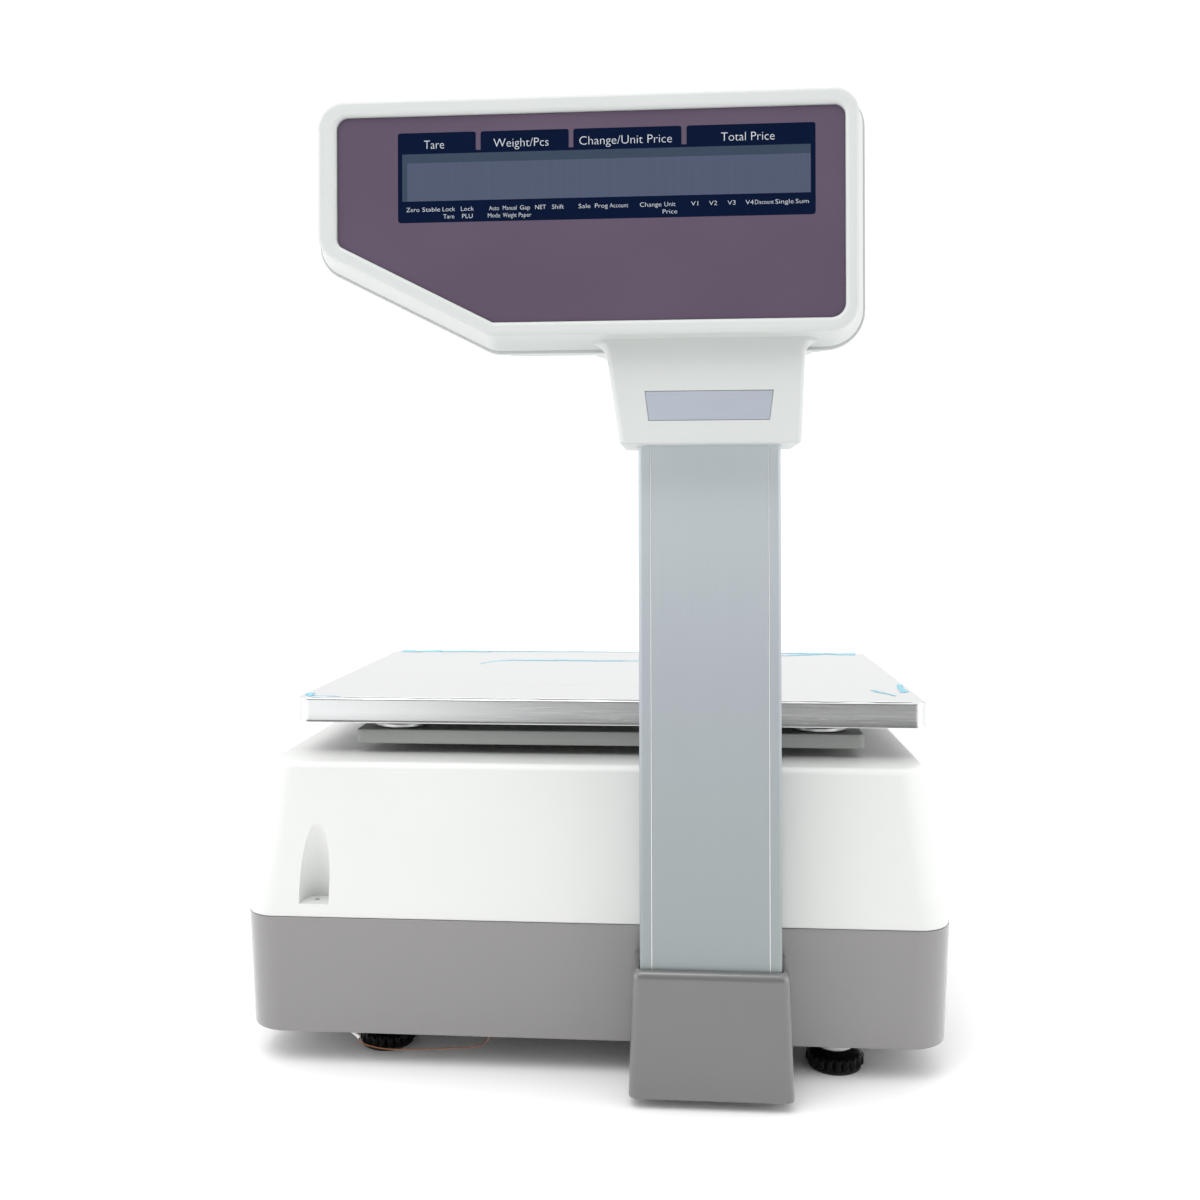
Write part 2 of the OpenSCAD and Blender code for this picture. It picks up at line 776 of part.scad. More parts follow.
module printer_side_outline() {
    difference() {
        polygon([[76, 33], [206, 33], [206, 84], [196, 92], [176, 106], [150, 112], [76, 112]]);
        translate([roll_y, roll_z]) circle(r = spindle_r + 2 * fit);
        translate([roll_y - spindle_r - 2 * fit, roll_z]) square([2 * spindle_r + 4 * fit, 60]);
        translate([platen_y, platen_z]) circle(r = axle_r + fit);
        translate([spool_y, spool_z]) circle(r = axle_r + fit);
        translate(head_pivot) circle(r = 2 + fit);
        translate(lever_pivot) circle(r = 2.5 + fit);
    }
}

module printer_frame() {
    color([0.70, 0.71, 0.73])
    difference() {
        union() {
            plate_x(bay_x0, side_t) printer_side_outline();
            plate_x(bay_x1 - side_t, side_t) printer_side_outline();
            box([bay_x0, 76, 33], [motor_plate_x + 2.5, 206, 35.5]);
            box([motor_plate_x, 150, 33], [motor_plate_x + 2.5, 206, 76]);
            rod_x(bay_x1 - 1, motor_plate_x + 1, idler_y, idler_z, 2);
        }
        rod_x(motor_plate_x - 1, motor_plate_x + 5, pinion_y, pinion_z, 4);
    }
}

module platen_roller() {
    color([0.10, 0.10, 0.10])
    union() {
        rod_x(bay_x0 + side_t + 1.5, bay_x1 - side_t - 1.5, platen_y, platen_z, platen_r);
        rod_x(bay_x0 + 0.3, gear_x0 + gear_t + 0.4, platen_y, platen_z, axle_r);
    }
}

module platen_gear() {
    color([0.90, 0.90, 0.86])
    gear_x(gear_x0, gear_t, platen_y, platen_z, platen_teeth, axle_r + fit);
}

module idler_gear() {
    color([0.90, 0.90, 0.86])
    gear_x(gear_x0, gear_t, idler_y, idler_z, idler_teeth, 2 + fit);
}

module motor_pinion() {
    color([0.80, 0.66, 0.32])
    union() {
        gear_x(gear_x0, gear_t, pinion_y, pinion_z, pinion_teeth, 1);
        rod_x(gear_x0, motor_plate_x + 8, pinion_y, pinion_z, 1.5);
    }
}

module feed_motor() {
    color([0.25, 0.25, 0.27])
    difference() {
        rod_x(motor_plate_x + 2.8, motor_plate_x + 24, pinion_y, pinion_z, 14);
        rod_x(motor_plate_x, motor_plate_x + 8.5, pinion_y, pinion_z, 1.5 + fit);
    }
}

module print_head() {
    color([0.30, 0.31, 0.33])
    union() {
        plate_x(bay_x0 + side_t + 0.6, bay_x1 - bay_x0 - 2 * side_t - 1.2)
            polygon([
                [157, 94], [157, 103], [172, 103], [194, 97], [194, 88], [183, 88],
                [183, 96], [171, 99.5], [167, 99.5], [167, 94]
            ]);
        rod_x(bay_x0 + 0.4, bay_x1 - 0.4, head_pivot[0], head_pivot[1], 2);
    }
}

module head_lever() {
    color([0.15, 0.35, 0.62])
    union() {
        rod_x(bay_x0 - 1, bay_x0 + side_t + 0.3, lever_pivot[0], lever_pivot[1], 2.5);
        rod_x(bay_x0 - 5, bay_x0 - 0.5, lever_pivot[0], lever_pivot[1], 5);
        box([bay_x0 - 5, lever_pivot[0], lever_pivot[1] - 3],
            [bay_x0 - 0.5, lever_pivot[0] + 24, lever_pivot[1] + 2]);
    }
}

module roll_spindle() {
    color([0.55, 0.57, 0.60])
    union() {
        rod_x(bay_x0 + 0.2, bay_x1 - 0.2, roll_y, roll_z, spindle_r);
        rod_x(roll_x0, roll_x0 + roll_w + 0.5, roll_y, roll_z, 18.9);
        rod_x(roll_x0 + roll_w + 0.3, roll_x0 + roll_w + 3.5, roll_y, roll_z, 22);
    }
}

module label_roll() {
    color([0.96, 0.96, 0.94])
    difference() {
        rod_x(roll_x0, roll_x0 + roll_w, roll_y, roll_z, roll_r);
        rod_x(roll_x0 - 1, roll_x0 + roll_w + 1, roll_y, roll_z, 19);
    }
}

module roll_guide() {
    color([0.55, 0.57, 0.60])
    difference() {
        rod_x(roll_x0 - 5, roll_x0 - 0.5, roll_y, roll_z, 24);
        rod_x(roll_x0 - 8, roll_x0 + 2, roll_y, roll_z, spindle_r + fit);
    }
}

module liner_spool() {
    color([0.20, 0.20, 0.21])
    union() {
        rod_x(bay_x0 + 0.2, bay_x1 - 0.2, spool_y, spool_z, axle_r);
        rod_x(-160, -108, spool_y, spool_z, 8);
        rod_x(-168, -160, spool_y, spool_z, spool_r);
        rod_x(-108, -100, spool_y, spool_z, spool_r);
    }
}

// ---------- column and head ----------

module column() {
    inner_w = column_w - 2 * column_wall;
    inner_d = column_d - 2 * column_wall;
    color([0.78, 0.79, 0.80])
    difference() {
        slab(column_x, column_y, column_z0, column_w, column_d, column_z1 - column_z0, 4);
        slab(column_x, column_y, column_z0 - 1, inner_w, inner_d, column_z1, 2);
        for (sx = [-1, 1], y = [column_y0, column_y1])
            box([column_x + sx * 30 - 0.7, y - 0.8, 0], [column_x + sx * 30 + 0.7, y + 0.8, 400]);
        for (x = [46, 82], z = [32, 58])
            rod_y(column_y1 - 4, column_y1 + 2, x, z, 3.1);
        rod_y(column_y1 - 6, column_y1 + 2, column_x, 76, 4);
    }
}

module column_boot() {
    back_hi = base_y0 + 0.2;
    back_lo = base_y0 + 2.2;
    color([0.52, 0.52, 0.52])
    difference() {
        hull() {
            box([22, -192.8, boot_z0], [105.9, back_lo, boot_z0 + eps]);
            box([23.8, -191, boot_z1 - 3.5], [104.2, back_hi, boot_z1 - 3.4]);
            box([26.3, -188.5, boot_z1 - eps], [101.7, back_hi, boot_z1]);
        }
        box([24.6, -190.4, boot_z0 + wall], [103.4, base_y0 + 5, boot_z1 - wall]);
        slab(column_x, column_y, boot_z0 + 2, column_w + 1, column_d + 1, 80, 4);
        box([33.5, -170, 20], [94.5, base_y0 + 5, 82]);
    }
}

module column_insert() {
    color([0.50, 0.51, 0.53])
    difference() {
        slab(column_x, column_y, 12, column_w - 2 * column_wall - 2 * clear,
            column_d - 2 * column_wall - 2 * clear, 54, 2);
        for (x = [46, 82], z = [32, 58])
            rod_y(column_y1 - 20, column_y1 + 2, x, z, 3 + fit);
    }
}

module column_bolts() {
    head_y = base_y0 + 6;
    color([0.30, 0.30, 0.32])
    for (x = [46, 82], z = [32, 58]) {
        rod_y(head_y - 22, head_y + 0.1, x, z, 3);
        rod_y(head_y, head_y + 4, x, z, 5);
    }
}

// Both halves of the head share the window seat
module window_seat(face_y, into) {
    head_slice(min(face_y - into, face_y + into * 3), max(face_y - into, face_y + into * 3),
        -window_inset - 2);
    head_slice(min(face_y - into, face_y + into * 2), max(face_y - into, face_y + into * 2),
        -window_inset);
}

module head_front_shell() {
    color([0.94, 0.94, 0.93])
    difference() {
        union() {
            difference() {
                union() {
                    head_taper(head_y0, 0, seam_y, head_flare);
                    intersection() {
                        neck_volume(0, neck_z0);
                        box([-200, -230, 300], [200, seam_y, 420]);
                    }
                }
                head_taper(head_y0 + 6, 0.2 - head_wall, seam_y + 1, head_flare - head_wall);
                intersection() {
                    neck_volume(head_wall, neck_z0 + 3);
                    box([-200, -230, 300], [200, seam_y + 1, 420]);
                }
            }
            for (p = head_boss_at)
                rod_y(head_y0 + 6, seam_y - 0.2, p[0], p[1], 4.2);
        }
        window_seat(head_y0, window_t);
        for (p = head_boss_at)
            rod_y(head_y0 + 9, seam_y + 1, p[0], p[1], 1.5 + fit);
        slab(column_x, column_y, 300, column_w + 0.8, column_d + 0.8, 60, 4);
        plate_y(neck_y0 - 1, 1.9) offset(delta = clear) name_plate_outline();
    }
}

module head_rear_shell() {
    rim_y = seam_y + seam_gap;
    color([0.94, 0.94, 0.93])
    difference() {
        union() {
            difference() {
                union() {
                    head_slice(rim_y, rim_y + 4, head_flare + rim_proud);
                    head_taper(rim_y + 4, head_flare, head_y1, 0);
                    intersection() {
                        neck_volume(0, neck_z0);
                        box([-200, rim_y, 300], [200, -100, 420]);
                    }
                }
                head_taper(rim_y - 1, head_flare - head_wall, head_y1 - 6, 0.2 - head_wall);
                intersection() {
                    neck_volume(head_wall, neck_z0 + 3);
                    box([-200, rim_y - 1, 300], [200, -100, 420]);
                }
            }
            for (p = head_boss_at)
                rod_y(rim_y + 0.2, head_y1 - 14, p[0], p[1], 3.8);
        }
        window_seat(head_y1, -window_t);
        for (p = head_boss_at) {
            rod_y(rim_y - 1, head_y1, p[0], p[1], 1.6);
            rod_y(head_y1 - 20, head_y1 + 1, p[0], p[1], 3.3);
        }
        slab(column_x, column_y, 300, column_w + 0.8, column_d + 0.8, 60, 4);
    }
}

module head_window_front() {
    color([0.37, 0.34, 0.40, 0.7])
    head_slice(head_y0 + window_set, head_y0 + window_set + window_t, -window_inset - clear);
}

module head_window_rear() {
    color([0.37, 0.34, 0.40, 0.7])
    head_slice(head_y1 - window_set - window_t, head_y1 - window_set, -window_inset - clear);
}

// Display panel with its board; dir points from the window into the head
module display_module(y, dir) {
    module layer(a, b, grow) {
        box([panel_x0 - grow, min(y + dir * a, y + dir * b), panel_z0 - grow],
            [panel_x1 + grow, max(y + dir * a, y + dir * b), panel_z1 + grow]);
    }
    color([0.06, 0.10, 0.22]) layer(0, 6, 0);
    color([0.10, 0.35, 0.20]) layer(5.9, 7.6, 4);
}

module display_front() {
    display_module(head_y0 + window_set + window_t, 1);
}

module display_rear() {
    display_module(head_y1 - window_set - window_t, -1);
}

module head_bracket() {
    color([0.72, 0.73, 0.74])
    difference() {
        union() {
            slab(column_x, column_y, column_z1, 120, 44, 3, 3);
            box([column_x - 33.5, column_y0 + 3, column_z1 - 24],
                [column_x + 33.5, column_y1 - 3, column_z1 + 1]);
            for (sx = [-1, 1])
                box([column_x + sx * 55 - 5, column_y - 12, column_z1 - 5],
                    [column_x + sx * 55 + 5, column_y + 12, column_z1 + 1]);
        }
        translate([column_x, column_y, column_z1 - 30]) cylinder(r = 6, h = 50);
    }
}

module head_screws() {
    head_y = head_y1 - 20;
    color([0.45, 0.45, 0.46])
    for (p = head_boss_at) {
        rod_y(seam_y - 8, head_y + eps, p[0], p[1], 1.5);
        rod_y(head_y, head_y + 2.5, p[0], p[1], 3.1);
    }
}

module name_plate_outline() {
    polygon([[32, 362.3], [33.7, 348], [93.4, 348], [95.1, 362.3]]);
}

module name_plate() {
    color([0.72, 0.75, 0.79])
    plate_y(neck_y0 + 0.1, 0.8) name_plate_outline();
}

module display_cable() {
    color([0.15, 0.15, 0.16]) lead(display_route, 2.5, [1, 0, 0.02]);
}

module load_cell_cable() {
    color([0.20, 0.20, 0.22]) lead(cell_route, 2, [0.05, 1, 0.3]);
}

module seal_tag() {
    color([0.92, 0.92, 0.90])
    union() {
        box([-131.5, -154.6, 12.5], [-126, -152, 16]);
        translate([-129, -153.3, 15.5]) cylinder(r = 0.5, h = base_z0 - 15.6);
    }
}

// ---------- feet ----------

module foot_knob(i) {
    scallops = 20;
    color([0.06, 0.06, 0.07])
    translate([foot_at[i][0], foot_at[i][1], 0])
    difference() {
        union() {
            translate([0, 0, knob_z0]) cylinder(r = knob_r, h = collar_z0 - knob_z0);
            translate([0, 0, collar_z0]) cylinder(r1 = knob_r - 0.6, r2 = 10, h = collar_z1 - collar_z0);
            cylinder(r = stud_r, h = 31);
        }
        for (k = [0:scallops - 1])
            rotate(360 * k / scallops) translate([knob_r + 0.6, 0, -1]) cylinder(r = 1.6, h = collar_z0 + 1);
        translate([0, 0, -1]) cylinder(r = 3 + fit, h = 7.3);
        translate([0, 0, -1]) cylinder(r = 6, h = knob_z0 + 1);
    }
}

module foot_sole(i) {
    color([0.14, 0.14, 0.15])
    translate([foot_at[i][0], foot_at[i][1], 0]) {
        cylinder(r = knob_r - 1.6, h = sole_t);
        cylinder(r = 3, h = 6);
    }
}

base_housing();
top_housing();
housing_screws();
chassis_plate();
load_cell_pedestal();
load_cell();
load_cell_bolts();
overload_stop();
tray_post();
platter_support();
platter_pads();
platter();
main_board();
power_board();
power_inlet();
power_switch_body();
power_rocker();
data_ports();
keypad_panel();
keypad_board();
printer_door();
door_pin();
printer_frame();
platen_roller();
platen_gear();
idler_gear();
motor_pinion();
feed_motor();
print_head();
head_lever();
roll_spindle();
label_roll();
roll_guide();
liner_spool();
column();
column_boot();
column_insert();
column_bolts();
head_front_shell();
head_rear_shell();
head_window_front();
head_window_rear();
display_front();
display_rear();
head_bracket();
head_screws();
name_plate();
display_cable();
load_cell_cable();
level_cup();
level_vial();
seal_tag();
foot_knob(0);  // foot_knob_1
foot_knob(1);  // foot_knob_2
foot_knob(2);  // foot_knob_3
foot_knob(3);  // foot_knob_4
foot_sole(0);  // foot_sole_1
foot_sole(1);  // foot_sole_2
foot_sole(2);  // foot_sole_3
foot_sole(3);  // foot_sole_4
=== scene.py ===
"""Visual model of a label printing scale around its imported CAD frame. Shapes are drawn in
millimetres and scaled to metres as each mesh is made."""
import math

import bmesh
import bpy
from mathutils import Matrix, Vector


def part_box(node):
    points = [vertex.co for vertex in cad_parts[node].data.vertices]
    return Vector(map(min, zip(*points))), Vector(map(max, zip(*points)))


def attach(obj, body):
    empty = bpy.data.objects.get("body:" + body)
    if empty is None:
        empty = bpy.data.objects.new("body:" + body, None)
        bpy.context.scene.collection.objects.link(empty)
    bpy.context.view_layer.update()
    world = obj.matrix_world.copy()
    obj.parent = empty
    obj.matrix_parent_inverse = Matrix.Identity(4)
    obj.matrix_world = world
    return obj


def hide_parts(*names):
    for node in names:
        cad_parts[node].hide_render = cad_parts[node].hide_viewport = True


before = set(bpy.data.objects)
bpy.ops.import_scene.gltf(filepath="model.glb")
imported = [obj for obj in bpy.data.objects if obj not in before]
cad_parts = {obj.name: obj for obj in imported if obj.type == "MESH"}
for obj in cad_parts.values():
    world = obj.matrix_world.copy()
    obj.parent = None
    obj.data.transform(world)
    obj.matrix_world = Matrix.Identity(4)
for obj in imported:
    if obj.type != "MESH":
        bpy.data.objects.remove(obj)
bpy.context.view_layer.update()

MM = 0.001
ARC_STEPS = 12


# ---------- shapes in millimetres ----------

def box_mm(node):
    """A CAD node's lowest and highest corners in millimetres."""
    low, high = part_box(node)
    return low / MM, high / MM


def arc(cx, cy, r, a0, a1, steps=ARC_STEPS):
    """Points on an arc, angles in degrees."""
    points = []
    for i in range(steps + 1):
        a = math.radians(a0 + (a1 - a0) * i / steps)
        points.append((cx + r * math.cos(a), cy + r * math.sin(a)))
    return points


def rounded_rect(x0, x1, y0, y1, r, steps=ARC_STEPS):
    """Closed outline of a rectangle with round corners."""
    corners = [(x1 - r, y0 + r, 270), (x1 - r, y1 - r, 0), (x0 + r, y1 - r, 90), (x0 + r, y0 + r, 180)]
    outline = []
    for cx, cy, a in corners:
        outline += arc(cx, cy, r, a, a + 90, steps)
    return outline


def inset_ring(x0, x1, y0, y1, d, r, z, steps=ARC_STEPS):
    """Rectangle with round corners at height z, drawn in by d on every side."""
    return [(x, y, z) for x, y in rounded_rect(x0 + d, x1 - d, y0 + d, y1 - d, r, steps)]


def quarter(steps, first=1):
    """Sine and one minus cosine at equal steps of a quarter turn."""
    angles = [math.radians(90 * i / steps) for i in range(first, steps + 1)]
    return [(math.sin(a), 1 - math.cos(a)) for a in angles]


def make_object(name, verts, faces, sharp=35.0):
    """Mesh object from millimetre points, smooth-shaded apart from edges sharper than sharp."""
    mesh = bpy.data.meshes.new(name)
    mesh.from_pydata([Vector(v) * MM for v in verts], [], faces)
    obj = bpy.data.objects.new(name, mesh)
    bpy.context.scene.collection.objects.link(obj)
    tidy_mesh(obj, sharp)
    return obj


def tidy_mesh(obj, sharp=35.0):
    """Merges doubles, points the normals outwards and marks the sharp edges."""
    bm = bmesh.new()
    bm.from_mesh(obj.data)
    bmesh.ops.remove_doubles(bm, verts=bm.verts, dist=1e-6)
    bmesh.ops.recalc_face_normals(bm, faces=bm.faces)
    bm.to_mesh(obj.data)
    bm.free()
    for poly in obj.data.polygons:
        poly.use_smooth = True
    obj.data.set_sharp_from_angle(angle=math.radians(sharp))


def loft(name, rings, closed=False, sharp=35.0):
    """Skin through rings of equally many points; closed joins the last ring to the first."""
    n = len(rings[0])
    verts = [p for ring in rings for p in ring]
    faces = []
    spans = len(rings) if closed else len(rings) - 1
    for i in range(spans):
        a, b = i * n, (i + 1) % len(rings) * n
        for k in range(n):
            m = (k + 1) % n
            faces.append((a + k, a + m, b + m, b + k))
    if not closed:
        faces.append(tuple(reversed(range(n))))
        faces.append(tuple(range((len(rings) - 1) * n, len(rings) * n)))
    return make_object(name, verts, faces, sharp)


def prism(name, outline, z0, z1, sharp=35.0):
    """Upright prism from an XY outline."""
    return loft(name, [[(x, y, z0) for x, y in outline], [(x, y, z1) for x, y in outline]], sharp=sharp)


def upright_prism(name, outline, y0, y1, sharp=35.0):
    """Prism along Y from an XZ outline."""
    return loft(name, [[(x, y0, z) for x, z in outline], [(x, y1, z) for x, z in outline]], sharp=sharp)


def side_ring(x0, x1, y0, y1, r0, r1, z, steps=6):
    """Rectangle at z with radius r0 at the -Y corners and r1 at the +Y corners."""
    outline = arc(x1 - r0, y0 + r0, r0, 270, 360, steps) + arc(x1 - r1, y1 - r1, r1, 0, 90, steps)
    outline += arc(x0 + r1, y1 - r1, r1, 90, 180, steps) + arc(x0 + r0, y0 + r0, r0, 180, 270, steps)
    return [(x, y, z) for x, y in outline]


def block(name, low, high):
    x0, y0, z0 = low
    x1, y1, z1 = high
    return prism(name, [(x0, y0), (x1, y0), (x1, y1), (x0, y1)], z0, z1)


def plug(r, depth, place, axis="Z", steps=32):
    """Plain cylinder that starts at place and runs along the axis, to cut a hole with."""
    return turned("plug", [(0.001, 0), (r, 0), (r, depth), (0.001, depth)], place, axis, steps)


def turned(name, profile, centre, axis="Z", steps=64, sharp=35.0):
    """Solid of revolution; profile is (radius, height) pairs that end on the axis or close up."""
    cx, cy, cz = centre
    rings = []
    for i in range(steps):
        a = 2 * math.pi * i / steps
        ring = []
        for r, h in profile:
            u, v = r * math.cos(a), r * math.sin(a)
            if axis == "Z":
                ring.append((cx + u, cy + v, cz + h))
            elif axis == "X":
                ring.append((cx + h, cy + u, cz + v))
            else:
                ring.append((cx + v, cy + h, cz + u))
        rings.append(ring)
    return loft(name, rings, closed=True, sharp=sharp)


def apply_modifiers(obj):
    """Bakes an object's modifiers into its mesh."""
    graph = bpy.context.evaluated_depsgraph_get()
    mesh = bpy.data.meshes.new_from_object(obj.evaluated_get(graph))
    obj.modifiers.clear()
    old = obj.data
    obj.data = mesh
    bpy.data.meshes.remove(old)


def boolean(obj, other, operation, sharp=35.0):
    """Exact boolean; the other object is used up."""
    mod = obj.modifiers.new("cut", "BOOLEAN")
    mod.operation = operation
    mod.solver = "EXACT"
    mod.object = other
    apply_modifiers(obj)
    bpy.data.objects.remove(other)
    tidy_mesh(obj, sharp)
    return obj


def cut(obj, *others, sharp=35.0):
    for other in others:
        boolean(obj, other, "DIFFERENCE", sharp)
    return obj


def join(obj, *others, sharp=35.0):
    for other in others:
        boolean(obj, other, "UNION", sharp)
    return obj


def merge(name, objs, sharp=35.0):
    """Several closed meshes in one object, with no boolean."""
    bm = bmesh.new()
    for o in objs:
        bm.from_mesh(o.data)
        bpy.data.objects.remove(o)
    mesh = bpy.data.meshes.new(name)
    bm.to_mesh(mesh)
    bm.free()
    obj = bpy.data.objects.new(name, mesh)
    bpy.context.scene.collection.objects.link(obj)
    for poly in mesh.polygons:
        poly.use_smooth = True
    mesh.set_sharp_from_angle(angle=math.radians(sharp))
    return obj


def copy_of(obj, name):
    twin = bpy.data.objects.new(name, obj.data.copy())
    bpy.context.scene.collection.objects.link(twin)
    return twin


def bevel(obj, width, segments=3, angle=35.0):
    """Rounds every edge sharper than angle; width in millimetres."""
    mod = obj.modifiers.new("bevel", "BEVEL")
    mod.width = width * MM
    mod.segments = segments
    mod.limit_method = "ANGLE"
    mod.angle_limit = math.radians(angle)
    mod.harden_normals = True
    mod.use_clamp_overlap = True
    return obj


def transform(obj, matrix):
    """Moves a mesh's points by a matrix given in millimetres."""
    to_m = Matrix.Scale(MM, 4)
    to_mm = Matrix.Scale(1 / MM, 4)
    obj.data.transform(to_m @ matrix @ to_mm)
    return obj


# ---------- materials ----------

def new_material(name):
    mat = bpy.data.materials.new(name)
    mat.use_nodes = True
    nodes = mat.node_tree.nodes
    return mat, nodes, mat.node_tree.links, nodes["Principled BSDF"]


def object_coords(nodes, links, stretch=(1, 1, 1)):
    coords = nodes.new("ShaderNodeTexCoord")
    mapping = nodes.new("ShaderNodeMapping")
    mapping.inputs["Scale"].default_value = stretch
    links.new(coords.outputs["Object"], mapping.inputs["Vector"])
    return mapping.outputs["Vector"]


def noise(nodes, links, vector, scale, detail=3.0, roughness=0.5):
    tex = nodes.new("ShaderNodeTexNoise")
    tex.inputs["Scale"].default_value = scale
    tex.inputs["Detail"].default_value = detail
    tex.inputs["Roughness"].default_value = roughness
    links.new(vector, tex.inputs["Vector"])
    return tex.outputs["Fac"]


def ramp(nodes, links, value, stops):
    node = nodes.new("ShaderNodeValToRGB")
    while len(node.color_ramp.elements) < len(stops):
        node.color_ramp.elements.new(0.5)
    for element, (place, color) in zip(node.color_ramp.elements, stops):
        element.position = place
        element.color = color if len(color) == 4 else (*color, 1)
    links.new(value, node.inputs["Fac"])
    return node.outputs["Color"]


def map_range(nodes, links, value, low, high):
    node = nodes.new("ShaderNodeMapRange")
    node.inputs["To Min"].default_value = low
    node.inputs["To Max"].default_value = high
    links.new(value, node.inputs["Value"])
    return node.outputs["Result"]


def bump(nodes, links, shader, height, strength, distance):
    node = nodes.new("ShaderNodeBump")
    node.inputs["Strength"].default_value = strength
    node.inputs["Distance"].default_value = distance
    links.new(height, node.inputs["Height"])
    links.new(node.outputs["Normal"], shader.inputs["Normal"])


def shade(color, amount):
    return tuple(max(0.0, min(1.0, c * amount)) for c in color)


def plastic(name, color, rough=0.45, grain=900.0, grain_depth=0.00002, vary=0.03, specular=0.5, gloss=0.0):
    """Moulded plastic: fine eroded grain, faint mottling, roughness that drifts; gloss is a clear coat."""
    mat, nodes, links, bsdf = new_material(name)
    coords = object_coords(nodes, links)
    mottle = noise(nodes, links, coords, 14.0, 4.0)
    links.new(ramp(nodes, links, mottle, [(0.3, shade(color, 1 - vary)), (0.7, shade(color, 1 + vary))]),
              bsdf.inputs["Base Color"])
    links.new(map_range(nodes, links, noise(nodes, links, coords, 60.0), rough - 0.05, rough + 0.05),
              bsdf.inputs["Roughness"])
    bsdf.inputs["Specular IOR Level"].default_value = specular
    bsdf.inputs["Coat Weight"].default_value = gloss
    bsdf.inputs["Coat Roughness"].default_value = 0.18
    bump(nodes, links, bsdf, noise(nodes, links, coords, grain, 2.0), 0.35, grain_depth)
    return mat


def brushed(name, color, rough=0.28, along=(1, 1, 0.02), metallic=1.0, lines=1400.0, depth=0.00001,
            vary=0.06):
    """Metal with fine lines drawn along one axis."""
    mat, nodes, links, bsdf = new_material(name)
    coords = object_coords(nodes, links, along)
    fine = noise(nodes, links, coords, lines, 3.0, 0.6)
    links.new(ramp(nodes, links, fine, [(0.25, shade(color, 1 - vary)), (0.75, shade(color, 1 + vary))]),
              bsdf.inputs["Base Color"])
    links.new(map_range(nodes, links, fine, rough - 0.06, rough + 0.08), bsdf.inputs["Roughness"])
    bsdf.inputs["Metallic"].default_value = metallic
    bump(nodes, links, bsdf, fine, 0.25, depth)
    return mat


def rubber(name, color):
    return plastic(name, color, rough=0.75, grain=1600.0, grain_depth=0.00004, vary=0.12, specular=0.3)


MATERIALS = {}


